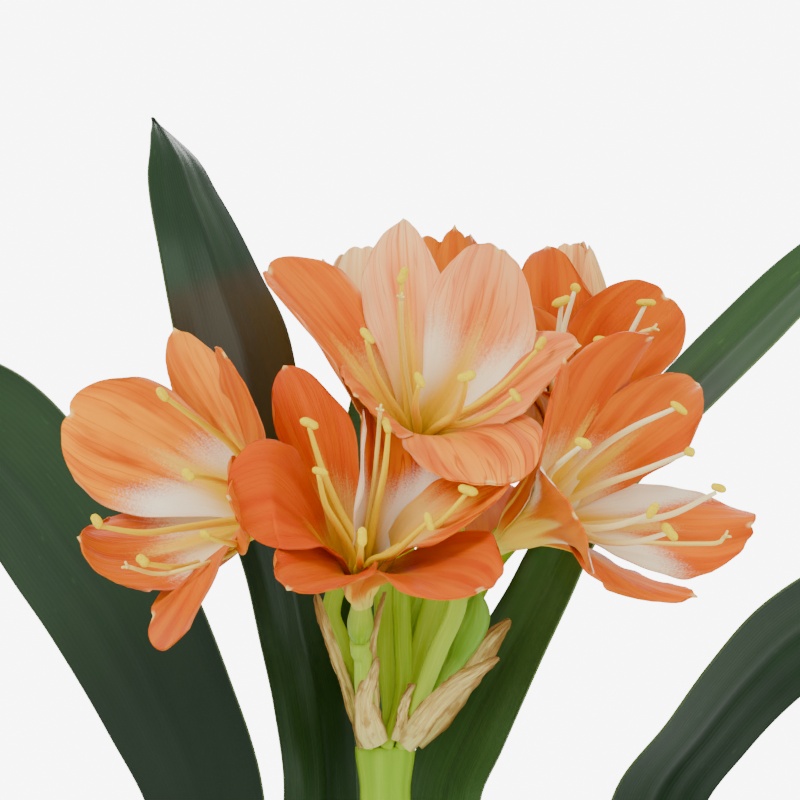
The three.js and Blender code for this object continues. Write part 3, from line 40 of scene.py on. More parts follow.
# ------------------------------------------------------------------ tables (millimetres)
FLOWERS = [
  {"name": "flower_front", "throat": [-7.2,-46.5,449.2], "axis": [.057,-.703,.709], "neck": [-6.4,-36,442.3], "base": [-6.8,-26.5,431.4], "stem": 1.6,
   "pedicel": [[-4,-4.9,400.5],[-4.2,-7,406.1],[-5.8,-13,417.1],[-6.2,-22,427.3],[-6.9,-23.9,428.4],[-6.8,-26.2,431]],
   "tepals": [
     ["o",[-.54,.576,.614],[61.5,21.8,40.5,51,107.6,2.9,-7,-16.1,7.9,3.6,-20.1,23.3,.99,.77,.37,-.02,-.19,.17,-.01,-.04,.15],"C1"],
     ["i",[-.9,-.344,-.269],[52.77,18.48,19.73,49.46,38.98,-3.03,-28.3,10.13,5.55,-25.49,-47.69,31.23,.67,.95,-.2,-.04,-.06,.18,-.01,-.31,.19],"C2"],
     ["o",[-.426,-.659,-.62],[59.2,10.9,57.2,57,52.9,14.8,-17.6,4.5,1.3,17,-12,26.7,2.51,.44,.06,-.01,.07,.19,0,-.01,0],"C3"],
     ["i",[.635,-.522,-.569],[58.5,32.6,48.5,57.8,59.6,4.6,8.5,-13.9,-28.1,12.8,-1.4,34.4,1.2,.9,.15,-.01,-.05,-.03,.01,.14,-.03],"C4"],
     ["o",[.998,.01,-.069],[57.3,10.4,39.4,53.4,36.5,1.8,-5.2,-8.1,-13.9,10.6,-5.7,23.6,1.15,.63,-.18,-.01,-.03,.09,0,0,0],"C5"],
     ["i",[.037,.711,.702],[44.49,-.91,35.84,28.71,93.31,-12.65,-5.54,8.24,20.57,47.88,44.09,33.54,1.69,1.56,.86,-.05,-.01,.22,-.18,-.06,.16],"C6"],
   ],
   "stamens": [
     [[[-8.9,-44.8,448.9],[-6.5,-54.2,457],[-12.5,-59.8,469.4],[-16.5,-67,479.3],[-19.7,-74,489.5]],[[-22.1,-74.3,492.1],[-17.3,-74.3,490.1]]],
     [[[-8.8,-46.3,447.5],[-8.5,-55.8,456],[-11.5,-66.2,463.1],[-15.2,-76.4,469.9],[-17.4,-86.8,477.1]],[[-18.6,-87.1,479.5],[-14.5,-87.1,478.2]]],
     [[[-5.8,-44.4,449.1],[-4,-52.6,458.8],[-2.1,-60.6,468.6],[0,-68.6,478.3],[1.8,-76.5,488.2]],[[0,-76.8,492.9],[1.3,-76.8,488.5]]],
     [[[-7.3,-46.8,446.8],[-6.8,-56.3,452.8],[-6.5,-57,453],[-6,-83.1,456.8],[-5.6,-95.3,459.8]],[[-5.6,-95.6,464.7],[-5.6,-95.6,459.5]]],
     [[[-6,-46.5,447.1],[-3.9,-55.5,453.9],[2.7,-69.7,457.1],[7.2,-78.9,461.4],[11.2,-90,465.8]],[[10.9,-90.3,468.4],[12.5,-90.3,463.2]]],
     [[[-5.4,-45.8,447.7],[-.8,-54.2,455.1],[8,-55.1,460.3],[15.6,-73.5,465.8],[21.7,-80.5,472.6]],[[19.4,-80.8,474.7],[24.6,-80.8,473.1]]],
   ],
   "style": [[-7.3,-44.4,447.1],[-4.3,-55.5,465.4],[-2.7,-62.1,476.2],[-1.6,-68.7,486.8],[-1,-80,494.5]]},
  {"name": "flower_upper", "throat": [9,-27.6,488.1], "axis": [.071,-.665,.743], "neck": [7.9,-17.6,476.9], "base": [7,-9.6,468], "stem": 1.6,
   "pedicel": [[.4,-6.4,400.5],[4.8,-3,416.4],[4.8,-3,430.4],[4.5,-3,444.3],[6.8,-6.9,465],[7,-9.2,467.6]],
   "tepals": [
     ["i",[-.939,.207,.276],[65.3,30.3,23.7,50.4,53.7,19.9,3.8,-6.1,-3.1,23.6,11.1,37.7,-.05,.86,.51,0,-.01,.24,.11,.03,-.14],"T1"],
     ["o",[-.242,.711,.66],[60.3,8.6,32.9,50.8,95.3,.8,2.6,-16.4,1.6,-3.5,-23.8,24,1.01,.75,.13,-.02,-.2,-.03,-.01,-.01,.34],"T2"],
     ["i",[.604,.622,.499],[59.2,15.7,27.1,27.7,6.1,-21.1,3.6,4.4,8.1,.7,-5.5,33,.78,.23,-.02,.02,.12,.05,-.02,-.1,.06],"T3"],
     ["o",[.973,-.119,-.2],[58,27.6,46.9,29.1,44.4,.5,3.5,-15.1,5.9,22,9.7,26.9,.7,-.14,-.23,0,.05,.19,0,0,.17],"T4"],
     ["i",[.315,-.692,-.65],[57.8,37,43.6,77,81.5,5.1,7.9,-11.8,-8.8,16.9,-4.3,34.8,.53,.64,-.1,.01,.02,.03,.02,.01,.18],"T5"],
     ["o",[-.535,-.655,-.535],[52.34,26.54,23.49,48.91,49.07,-10.34,-1.79,14.18,-17.92,-30.55,-22.21,25.29,.56,.09,-.49,0,.03,.1,0,-.01,.09],"T6"],
   ],
   "stamens": [
     [[[7.2,-25.9,487.7],[6.3,-33.8,497.7],[5.3,-41.7,507.8],[4.5,-49.5,517.9],[4.5,-57.3,528.1]],[[5.8,-57.6,532.9],[3.9,-57.6,528.3]]],
     [[[7.4,-27.6,486.2],[4.5,-37.4,493],[.5,-47.9,499.4],[-2.6,-58.4,505.6],[-4.8,-69,511.9]],[[-6.1,-69.3,516.4],[-2.7,-69.3,512.4]]],
     [[[8.7,-28,485.7],[8.8,-37.7,491.4],[8.2,-42.5,493.3],[8.1,-63.7,496.9],[8.9,-75.8,500]],[[8.4,-76.1,504.7],[10.5,-76.1,500.6]]],
     [[[9.6,-27.9,485.7],[13.7,-38.5,489.6],[18.4,-50.4,492.6],[20.5,-61.9,497.2],[21.8,-73.5,501.9]],[[19.2,-73.8,502.9],[24.2,-73.8,504.5]]],
     [[[10.1,-27.6,485.9],[14.8,-36.7,489.9],[22.7,-51,491.1],[28.5,-59.3,493.7],[33.2,-70.3,497.4]],[[33.2,-70.6,500.3],[36.1,-70.6,496.9]]],
     [[[10.7,-27,486.4],[16.6,-34.8,491.9],[26.2,-45.9,496.9],[33.5,-52.4,502.9],[40.1,-61,509.4]],[[42.7,-61.4,514.1],[40.6,-61.4,510.4]]],
   ],
   "style": [[8.8,-25.6,485.9],[7.2,-34.9,497.4],[5.8,-41.6,505.5],[4.7,-50.4,516.2],[4.5,-57,524.1]]},
  {"name": "flower_left", "throat": [-31.8,-26.2,467.9], "axis": [-.688,-.627,.365], "neck": [-21.5,-16.8,462.4], "base": [-13.2,-9.3,458.1], "stem": 1.6,
   "pedicel": [[-6.1,-.9,400.5],[-8.1,-5,415.1],[-10,-6,423.6],[-12.5,-7,431.1],[-15,-8,438.2],[-10.5,-6.8,456.6],[-12.8,-9,457.9]],
   "tepals": [
     ["i",[-.587,.777,.227],[60.6,9.7,29.6,42.6,58,.5,-1.9,1.1,-5.3,-6.2,-5,35.7,.73,.51,.34,0,-.05,.08,.05,.03,.12],"L1"],
     ["o",[.136,.383,.914],[54.2,14.2,36.7,39.2,85.2,-8.9,5.6,30.1,-6.2,-12.2,49.3,24.4,.82,.15,-.63,0,0,.1,0,-.02,.04],"L2"],
     ["i",[.653,-.316,.688],[58.1,16.7,45.6,43.4,22.7,-2.6,-3.1,5.7,-2.5,9.2,9.5,33.2,.79,-.04,0,0,.02,.02,-.01,-.02,.01],"L3"],
     ["o",[-.611,.23,-.757],[57.4,38.4,44.6,44.6,-24.6,4.9,3.1,9.2,-2.6,-6.4,-27,28.4,-.08,.22,-.17,-.01,-.06,.29,.06,-.07,.14],"L4"],
     ["i",[-.005,-.499,-.866],[49.99,44.03,29.83,60.22,95.85,-3.77,7.98,-82.04,10.39,12.42,19.16,35.41,.19,-.07,-.43,-.01,.04,.1,-.03,-.2,.38],"L5"],
     ["o",[.552,-.779,-.297],[58.3,12.8,45.5,59.9,33.8,.7,-5,3.7,5.6,58.2,38.5,25.7,1.1,.23,-.26,0,.06,.16,0,0,.02],"L6"],
   ],
   "stamens": [
     [[[-29.6,-25.7,468.9],[-35.7,-34.2,477],[-41.6,-42.8,485.4],[-49.5,-51.6,491.6],[-57.5,-60.5,497.4]],[[-60.4,-60.8,500.6],[-57.5,-60.8,497.1]]],
     [[[-29.7,-26.8,466.8],[-35,-38.1,470.4],[-39.9,-49.8,474],[-45,-61.7,476.4],[-49.9,-73.7,477.4]],[[-52.8,-74,479.3],[-49.9,-74,476.4]]],
     [[[-31.7,-25.2,465.7],[-42.7,-32.7,464.4],[-53.7,-40,462.9],[-64.8,-47.2,461.7],[-76,-54.2,462.6]],[[-78.1,-54.5,466.7],[-76,-54.5,462.9]]],
     [[[-30.1,-26.7,466.2],[-35.6,-34.9,466.9],[-38.3,-45.8,459.9],[-42.4,-66.6,460],[-46.4,-75.5,461.4]],[[-48.3,-75.8,463],[-45.6,-75.8,461.5]]],
     [[[-31,-26.1,465.6],[-38.2,-35.4,459.3],[-47.1,-31.2,454.8],[-55.2,-54.7,452.9],[-63.9,-64.7,453.4]],[[-65.5,-65,456.1],[-62.5,-65,453.4]]],
     [[[-29.5,-26.8,467.1],[-32.7,-32.6,469.2],[-35.2,-39.3,471.1],[-35.6,-40.2,472.3],[-36.3,-66.7,474.7]],[[-37.8,-67,476.8],[-35.5,-67,474.4]]],
   ],
   "style": [[-29.7,-24.4,466.8],[-40.5,-38.2,456.5],[-49.8,-60.4,453.3],[-59.8,-57.3,451],[-67.6,-65,453.2]]},
  {"name": "flower_right", "throat": [40.9,-32.3,463.8], "axis": [.718,-.546,.431], "neck": [30.1,-24.1,457.3], "base": [21.5,-17.6,452.1], "stem": 1.6,
   "pedicel": [[4.3,-4.6,400.5],[9.5,-9,414],[14.2,-13,426.8],[20.2,-16,442.1],[18.6,-15.4,450.4],[21.1,-17.3,451.9]],
   "tepals": [
     ["i",[-.133,.501,.855],[58.9,17.2,47.9,51.9,18.8,8.5,-4.2,-13.2,3.6,14.3,19.6,33.6,.82,-.31,-.71,0,-.01,-.05,-.01,.09,.06],"R1"],
     ["o",[.341,.817,.466],[63.6,18.2,34.9,51.3,97.6,4.5,3.5,-14.6,-7.6,-14.8,-10.8,25.2,1.04,.86,.4,-.02,-.1,.22,0,-.02,.19],"R2"],
     ["i",[.688,.462,-.56],[58.4,14.5,46.7,48.5,18.6,-2.3,-2,-2,-2.8,-.1,-6.5,33.8,1.11,.07,-.55,-.01,.08,.1,.02,-.06,-.08],"R3"],
     ["o",[.213,-.418,-.883],[57.39,22.5,61.2,41.55,31.5,-2.1,-6.2,6.1,-11.94,-.8,47.89,24.1,1.02,-.41,-.64,0,.06,.03,.01,-.02,-.04],"R4"],
     ["i",[-.468,-.838,-.281],[59.96,22.74,45.49,56.98,46.33,1.44,8.91,-7.73,15.09,-14.75,-3.42,30.1,1.69,-.31,-.06,0,.05,.04,-.01,-.06,.09],"R5"],
     ["o",[-.686,-.449,.573],[57.7,17.93,33.91,44.56,38.13,-4.36,11.05,-4.84,-6.75,-21.01,-18.98,23.6,.1,.29,.1,.04,-.04,-.01,0,.02,-.01],"R7"],
   ],
   "stamens": [
     [[[39.2,-31,464.9],[47.3,-38,473.8],[55.6,-45,482.5],[65.4,-51.9,489.5],[76.1,-58.8,495]],[[76.3,-59.1,496.9],[80.6,-59.1,493.7]]],
     [[[39.6,-32.9,461.7],[48.4,-40.8,469.2],[58.2,-48.9,474.5],[68.7,-57.1,478.5],[78.8,-65.6,482.8]],[[79.6,-65.9,484.4],[82.3,-65.9,483.4]]],
     [[[38.6,-33,463.3],[43.3,-42.1,468.9],[43.8,-45.4,475.6],[46.6,-68.4,480.8],[50.4,-80.8,484.3]],[[49.9,-81.1,487],[54.1,-81.1,485.1]]],
     [[[40.9,-31.3,461.5],[52.6,-38.3,463.2],[64.7,-45.2,464.6],[76.6,-52.1,466.7],[87.5,-58.8,471.6]],[[87,-59.1,474.5],[91,-59.1,473.2]]],
     [[[39.4,-33,461.9],[47.5,-42.8,463.7],[55.1,-55,463.2],[62.1,-66.5,464.4],[68.3,-78.3,466.5]],[[71.7,-78.6,470.4],[69.1,-78.6,466.3]]],
     [[[39.8,-32.8,461.6],[48.6,-41.1,463.2],[57.8,-53.2,459.5],[66,-64,459.5],[73.5,-75.1,462]],[[73.2,-75.4,465.1],[76.9,-75.4,460.7]]],
   ],
   "style": [[38.7,-30.7,462.5],[58,-47.6,459.8],[71,-54.3,459.2],[81.2,-61.9,459.2],[88.8,-67.6,459.9],[89.7,-68.8,461.2]]},
  {"name": "flower_upper_right", "throat": [47.1,22.7,481.1], "axis": [.185,-.688,.702], "neck": [44.3,33,470.6], "base": [42.1,41.3,462.1], "stem": 1.4,
   "pedicel": [[2.1,-.4,400.5],[9.8,9,412.8],[17,18,426.4],[23.1,26,438.8],[30.7,34,451.3],[37.5,40,458.3],[41.4,44.1,459.3],[42,41.7,461.8]],
   "tepals": [
     ["o",[-.259,.654,.71],[61.5,16.3,35.9,44.7,104.3,1.7,.3,-17.6,.1,-1.2,-20.2,26.7,.9,.58,.46,0,0,.17,0,0,.22],"U1"],
     ["i",[.71,.587,.389],[58.5,9.8,31.6,45.4,89.3,-.4,3.1,11.1,-1.3,3,14.6,33,.92,.63,.57,0,0,.05,0,-.05,.06],"U3"],
     ["i",[-.923,.123,.364],[54,-5.7,15.6,32.7,46.5,-1,1.8,-9.4,-3.7,-3.5,25.2,33.3,.93,.61,.03,0,.04,-.02,0,0,0],"U5"],
     ["o",[-.529,-.671,-.519],[50.2,-.3,20.5,32.9,39.2,.2,.4,1,0,0,0,23.5,.9,.55,.25,0,0,0,0,0,0],"U6"],
     ["i",[.058,-.705,-.707],[50.2,-3.1,17.9,30.6,38,0,0,.1,0,0,0,33,.9,.55,.25,0,0,0,0,0,0],"U7"],
     ["o",[.879,-.203,-.431],[49.5,3.6,24.2,36.8,43.3,-1,-2.3,-5.5,0,0,0,23.5,.9,.55,.25,0,0,0,0,0,0],"U8"],
   ],
   "stamens": [
     [[[45.8,24.8,481.4],[48,16.3,490.2],[47.4,7.2,502.6],[48.4,3.6,513.2],[49.4,-3.3,523.9]],[[46.6,-3.6,523.9],[51.7,-3.6,526.1]]],
     [[[46.4,25.1,481.4],[48.4,16.9,490.5],[48.5,8.6,504.1],[49.8,6.8,515.5],[52.7,1.5,526.8]],[[52.4,1.2,529.9],[54.6,1.2,528]]],
     [[[48.2,24.9,480.8],[52.3,18.1,490.1],[60.7,12.5,501.7],[67.1,9.7,512.1],[72.8,5.7,523.3]],[[70.6,5.4,524.7],[76.2,5.4,524.7]]],
     [[[48.1,22.9,478.9],[51.2,13.8,487.4],[54.2,4.7,495.8],[57.2,-4.5,504.3],[60.1,-13.8,512.6]],[[57.6,-14.1,514],[62.6,-14.1,513.2]]],
     [[[45.4,22.6,479.3],[47,13.6,487.5],[46.4,3,494.4],[44.2,-8.6,500.2],[41.4,-20.4,505.3]],[[38.9,-21.1,504.5],[43.5,-21.2,506.8]]],
     [[[45,24,480.8],[47.4,16.3,488.4],[47.5,9.1,496.8],[45.9,2.2,505.6],[42.4,-4,514.8]],[[41.6,-2.2,516.8],[42.7,-6.6,514.2]]],
   ],
   "style": [[46.5,24.8,479],[67.3,1.9,511.4],[71.3,-1.9,516.1],[74.5,-4,517.2]]},
  {"name": "flower_back_upper", "throat": [19.8,40,498], "axis": [0,.101,.995], "neck": [19.8,38.5,483.1], "base": [19.8,37.3,471.1], "stem": 1.4, "nudge": [-3.16,0,.82],
   "pedicel": [[-.5,2,400.5],[6.2,7,412.9],[9.9,13,425.2],[14.5,23,440.3],[17.7,29,451.5],[19.8,36.9,467.1],[19.8,37.2,470.6]],
   "tepals": [
     ["i",[-.262,.96,-.097],[46.9,15.99,12.13,1.53,-12.88,.71,-.89,-.57,6.17,7.19,5.62,27.35,1.19,1.21,.91,0,0,0,0,0,0],"B11"],
     ["o",[-.967,.254,-.026],[48.11,19.97,16.12,5.5,-8.81,-.01,.1,-.37,4.98,5.57,7.43,22.29,1.12,1.01,.72,0,0,0,0,0,0],"B12"],
     ["i",[-.705,-.706,.072],[46.72,18.53,14.79,1.63,-13.72,.36,-.46,.66,7,6.14,6.15,26.77,1.18,1.18,.89,0,0,0,0,0,0],"B13"],
     ["o",[.262,-.96,.097],[47.86,20.23,15.04,5.32,-9.17,-.36,.06,.41,7.11,5.88,5.48,21.69,1.1,1.02,.72,0,0,0,0,0,0],"B14"],
     ["i",[.967,-.254,.026],[46.82,15.99,13.73,1.92,-11.71,.44,-.32,-1.01,5.46,5.38,4.77,27.03,1.22,1.22,.89,0,0,0,0,0,0],"B15"],
     ["o",[.705,.706,-.072],[48.08,19.6,17.33,4.18,-10.16,.91,.95,.53,4.55,5.96,4.78,22.13,1.08,1.01,.71,0,0,0,0,0,0],"B16"],
   ],
   "stamens": [
     [[[20.6,38.1,496.7],[20.3,39.7,507.1],[20.8,39.6,517.6],[22,37.8,528.3],[22.9,36.6,538.8]],[[21.5,34.4,539.5],[24.4,38.7,539.7]]],
     [[[19,41.6,496.3],[18.9,42.9,506.9],[18.1,45.7,517.2],[17.3,48.6,527.5],[16.2,52.1,537.6]],[[13.9,53.6,537.7],[18.3,51.1,539.1]]],
     [[[21.8,39.9,496.5],[20.9,40.9,506.8],[21.7,42,517.1],[24.5,43.1,527.4],[27.7,44.3,537.6]],[[30.2,45.1,537.5],[25.6,43.6,539.1]]],
     [[[17.9,39.9,496.5],[18.7,40.9,506.9],[17.1,42,517.2],[13.5,43.1,527.4],[14.8,44.1,537.6]],[[12.9,45.8,538.5],[16.9,42.5,538.3]]],
     [[[20.8,41.5,496.3],[20.9,42.7,506.5],[21.8,45.2,516.6],[23,48.1,526.5],[24.4,51.3,536.4]],[[24.4,49.1,538],[24.5,54,536.3]]],
     [[[18.8,38.2,496.6],[19.2,40,507.2],[18.2,39.5,518],[16.3,37.6,528.8],[16.6,39,539.3]],[[16.6,41.7,539.7],[16.5,36.5,540.4]]],
   ],
   "style": [[19.8,39.7,495],[19.8,41.4,510.3],[19.9,43.5,525.6],[20,45.6,538.6]]},
  {"name": "flower_back_upper_left", "throat": [-1.6,36,496.2], "axis": [-.03,.081,.996], "neck": [-1.1,34.8,481.3], "base": [-.8,33.8,469.4], "stem": 1.4, "nudge": [.13,0,-.63],
   "pedicel": [[-1.3,-1.6,400.5],[.8,5,408.8],[.5,11,423.9],[.2,20,440.5],[-.7,26,451.6],[-.6,33.5,465.4],[-.7,33.8,468.8]],
   "tepals": [
     ["i",[-.676,.732,-.08],[47.07,18.71,25.42,7.96,-12.03,.34,.8,.06,5.39,5.06,4.74,26.19,1.2,1.18,.92,0,0,0,0,0,0],"B21"],
     ["o",[-.976,-.219,-.012],[43.53,21.34,28.69,10.09,-7.76,.3,-.7,-.65,5.26,5.48,4.93,20.73,1.12,1.02,.68,0,0,0,0,0,0],"B22"],
     ["i",[-.3,-.952,.068],[46.83,16.71,26.9,7.54,-13.43,.23,-1.5,.05,6.42,7.46,5.28,26.24,1.22,1.22,.88,0,0,0,0,0,0],"B23"],
     ["o",[.676,-.732,.08],[43.76,23.04,29,10.64,-7.86,.81,-.05,-1.41,4.76,4.83,5.25,21.37,1.11,1.02,.7,0,0,0,0,0,0],"B24"],
     ["i",[.976,.219,.012],[47.56,18.54,27.58,7.94,-11.03,-1.22,-.42,-1.39,6.14,6.89,4.65,25.75,1.19,1.19,.91,0,0,0,0,0,0],"B25"],
     ["o",[.3,.952,-.068],[43.62,22.02,29.28,9.95,-6.68,1.33,-1.16,1.03,5.54,4.8,5.65,21.01,1.12,.99,.68,0,0,0,0,0,0],"B26"],
   ],
   "stamens": [
     [[[-.5,34.2,494.9],[-1.4,36,504.7],[-1.3,36,514.7],[-.3,34.7,524.8],[1.2,32.3,534.9]],[[3.7,33.1,535.5],[-1.1,31.1,535.8]]],
     [[[-2.4,37.6,494.6],[-2.1,37.3,504.6],[-3,39.2,514.3],[-5,43.4,523.7],[-6.5,46.4,533.2]],[[-6.8,49,533.2],[-6.3,44.1,534.8]]],
     [[[-3.5,35.8,494.7],[-2.2,36.6,504.3],[-3,37.4,513.9],[-5.8,38.1,523.3],[-10.1,38.8,532.7]],[[-8,38.6,534.5],[-12.7,39,532.3]]],
     [[[.4,35.9,494.8],[-.9,36.7,504.5],[-.6,37.5,514.2],[2,38.4,524],[4.8,39.2,533.7]],[[2.5,38.9,535.2],[7.5,39.6,533.7]]],
     [[[-.5,37.5,494.6],[-1.5,37.2,504.6],[-1.5,38.5,514.4],[-.6,41.3,524],[.8,44.9,533.6]],[[-.8,47.1,533.8],[2.6,43.2,534.8]]],
     [[[-2.6,34.3,494.9],[-2.2,36.1,504.6],[-3,36.1,514.5],[-5.4,33.8,524.4],[-7,32.8,534.2]],[[-9,31,534.5],[-5.2,34.3,535.5]]],
   ],
   "style": [[-1.5,35.8,493.3],[-2.1,37,507.6],[-3.1,38.2,521.8],[-4.2,39.4,534]]},
  {"name": "flower_back_left", "throat": [-43,54,468], "axis": [-.281,.944,.171], "neck": [-38.8,39.8,465.4], "base": [-35.4,28.5,463.4], "stem": 1.6,
   "pedicel": [[-4,4.9,400.5],[-5.5,19,412.1],[-11.6,32,424.1],[-19.5,38,436.7],[-25.9,40,451.1],[-34.3,24.7,462.7],[-35.3,28,463.3]],
   "tepals": [
     ["i",[.927,.221,.304],[52.93,10.7,31.13,44.82,57.65,-.94,.09,.39,-1.47,1.01,1.03,30.18,1.01,.62,.29,0,0,0,0,0,0],"K11"],
     ["o",[.68,.322,-.659],[55.4,21.18,39.64,55.02,73.18,-1.14,1.33,.24,-.07,-.5,-.18,23.31,.82,.38,.19,0,0,0,0,0,0],"K12"],
     ["i",[-.247,.101,-.964],[52.42,11.96,31.16,43.02,58.97,.16,-.36,.16,-1.22,.59,.79,29.85,1,.6,.32,0,0,0,0,0,0],"K13"],
     ["o",[-.927,-.221,-.304],[56.29,21.19,38.84,53.58,71.89,-.27,.83,-.83,-.19,-1.45,.65,23.33,.81,.39,.19,0,0,0,0,0,0],"K14"],
     ["i",[-.68,-.322,.659],[52.9,11.1,31.45,43.96,56.86,-1.03,.01,1.06,.43,.93,-.95,30.33,1.02,.62,.32,0,0,0,0,0,0],"K15"],
     ["o",[.247,-.101,.964],[55.87,20.35,38.95,53.62,72.93,-.68,-1.18,-.34,-.08,-.55,-.37,23.06,.8,.41,.19,0,0,0,0,0,0],"K16"],
   ],
   "stamens": [
     [[[-41.7,52.5,469.5],[-44.9,63.1,471.2],[-46.6,73.4,475.9],[-47,83.3,483],[-47.5,93.1,489.7]],[[-46.6,95.1,488.2],[-48.5,92.3,492.1]]],
     [[[-43.7,52.5,466.1],[-48,63.9,466.9],[-53,75,466.5],[-58.8,85.9,465],[-65.2,96.5,462.4]],[[-67.1,95.8,460.6],[-64.1,98.5,463.9]]],
     [[[-41.5,53.2,466.2],[-44.2,65,467.2],[-45.9,77.1,467],[-47,89.4,465.9],[-47.3,101.8,463.7]],[[-47.1,103,466.1],[-47.5,102.2,461]]],
     [[[-44.4,52,467.9],[-47.8,63.2,469.9],[-54.1,73.3,472.1],[-62.2,82.5,474.4],[-72.2,90.9,476.8]],[[-71.2,93.4,476.5],[-74.4,89.4,477.4]]],
     [[[-40.7,53.1,467.9],[-44.3,63.6,469.7],[-44.6,74.8,471.8],[-42.7,86.5,473.9],[-41,97.9,476]],[[-39.7,98.1,478.4],[-42.1,99.3,473.9]]],
     [[[-43.5,52,469.3],[-46.6,62.9,471.1],[-50.9,72.7,474.9],[-56.6,81.5,481],[-63.8,88.8,489.9]],[[-65,90.8,488.5],[-63.5,87.6,492.3]]],
   ],
   "style": [[-42.2,51.2,467.5],[-46.9,67.8,470.5],[-51.3,84.4,473.4],[-54.8,98.8,475.9]]},
  {"name": "flower_bud_tall", "throat": [57.5,55,490], "axis": [-.06,.03,.998], "neck": [58.4,54.5,475], "base": [59.1,54.2,463.1], "stem": 1.6, "nudge": [0,0,-.57],
   "pedicel": [[5.3,3.4,400.5],[9,14,412.4],[15.7,27,424.4],[22.1,39,438.1],[29.2,48,450.8],[36.4,53,458.8],[46.6,54,461.7],[59.4,54.1,459.1],[59.2,54.2,462.5]],
   "tepals": [
     ["i",[-.691,.72,-.063],[54.98,5.76,16.46,-3.74,-24.58,-.36,-.69,-.26,7.2,7.48,5.92,23.63,1.39,1.18,1.09,0,0,0,0,0,0],"K21"],
     ["o",[-.969,-.24,-.051],[52.41,9.46,21.25,-1.42,-19.91,.24,-.51,-.43,5.55,6.89,6.2,21.26,1.32,1.19,.99,0,0,0,0,0,0],"K22"],
     ["i",[-.279,-.96,.012],[55.16,5.54,16.62,-4.57,-25.73,-.14,1.16,.63,7.09,7.95,6.34,23.96,1.41,1.21,1.09,0,0,0,0,0,0],"K23"],
     ["o",[.691,-.72,.063],[52.51,10.95,20.49,-1.8,-22.1,-1.19,.93,0,6.08,5.75,6.07,20.61,1.31,1.19,1,0,0,0,0,0,0],"K24"],
     ["i",[.969,.24,.051],[55.4,5.5,16.47,-4.59,-23.94,.78,-.21,-1.49,5.75,5.87,8.45,23.78,1.39,1.22,1.1,0,0,0,0,0,0],"K25"],
     ["o",[.279,.96,-.012],[52.19,11.87,20.37,-2.49,-21.69,-.92,1.06,1.31,8.18,6.27,6.46,20.69,1.29,1.21,1,0,0,0,0,0,0],"K26"],
   ],
   "stamens": [
   ],
   "style": None},
  {"name": "flower_back", "throat": [18.5,53,473], "axis": [.2,.781,.591], "neck": [15.5,41.3,464.1], "base": [13.1,31.9,457], "stem": 1.6,
   "pedicel": [[1.6,6.2,400.5],[3.9,17,415.1],[6.5,28,428.6],[11.1,34,442.7],[12.3,28.8,454.7],[13,31.5,456.7]],
   "tepals": [
     ["o",[-.079,-.589,.805],[55.1,5,28.9,45.4,64.9,-2.3,-5.2,-3,-7.8,12.5,-14.4,21.9,.97,.51,.08,-.06,-.04,-.05,.01,.06,-.02],"K31"],
     ["i",[.806,-.474,.353],[55.9,14.3,35.5,52.4,64.9,-7.1,1.7,5,-1.1,-.9,6.5,33,.93,.29,.23,.04,.04,.04,.04,.01,-.03],"K32"],
     ["o",[.885,.114,-.451],[59.5,18.4,36,54.8,63.3,.9,-7.2,.9,-3.1,1.4,5.8,24.5,.86,.67,.29,-.01,.06,-.04,.02,-.05,.05],"K33"],
     ["i",[.079,.589,-.805],[57.5,15.3,47,64.6,82.5,3,-.7,2.4,4.1,13.8,1.9,32.4,.76,.41,.21,.01,.04,.03,-.04,-.06,-.01],"K34"],
     ["o",[-.806,.474,-.353],[54.3,15,33.9,41.5,56.9,2,-2.9,6.8,.1,-8.6,2.7,24.3,1.08,.54,.42,-.01,-.11,-.03,-.02,.05,.03],"K35"],
     ["i",[-.885,-.114,.451],[53,9.3,38.7,42.4,51.6,4,-.5,.1,3,.4,-5.6,32.4,.84,.65,.05,-.03,.01,.06,.03,-.01,.06],"K36"],
   ],
   "stamens": [
     [[[19,50.6,473.4],[22,58.3,481.5],[25.7,64.7,490.6],[30,69.7,500.6],[34.7,73.5,511.4]],[[37.1,74.7,510.9],[33,72.7,513.4]]],
     [[[17.6,53,470.7],[19.2,63.5,476.1],[20.3,74.8,480],[20.6,86.8,482.4],[20.4,99.5,483.3]],[[22.2,100.2,485.2],[18.6,100.4,481.5]]],
     [[[17.1,51,473.5],[18.2,59.3,482.1],[18.2,66.5,491.9],[17.1,72.5,502.8],[14.9,77.4,514.6]],[[12.8,76.1,515.7],[16.7,79.4,515]]],
     [[[19.4,52.5,470.8],[22.8,62,476],[27.1,71.8,479.9],[32.4,81.9,482.6],[38.4,92.2,484]],[[41,91.7,483.6],[36.6,94.2,484.5]]],
     [[[20.1,51.3,472.1],[24.3,59.3,478.6],[30.1,66.6,484.8],[37.5,73.1,490.9],[46.4,78.8,496.6]],[[46.8,81.2,495.3],[47.2,77.2,498.6]]],
     [[[16.4,52.5,471.9],[16.9,62.3,478.6],[15.9,72.5,485],[13.3,82.9,491.1],[9.1,93.5,496.7]],[[9.5,93.2,499.4],[8.2,95.1,494.7]]],
   ],
   "style": [[17.9,50.7,471.2],[21.7,65.2,482.1],[25.6,80,492.6],[29.1,92.8,501.4]]},
]
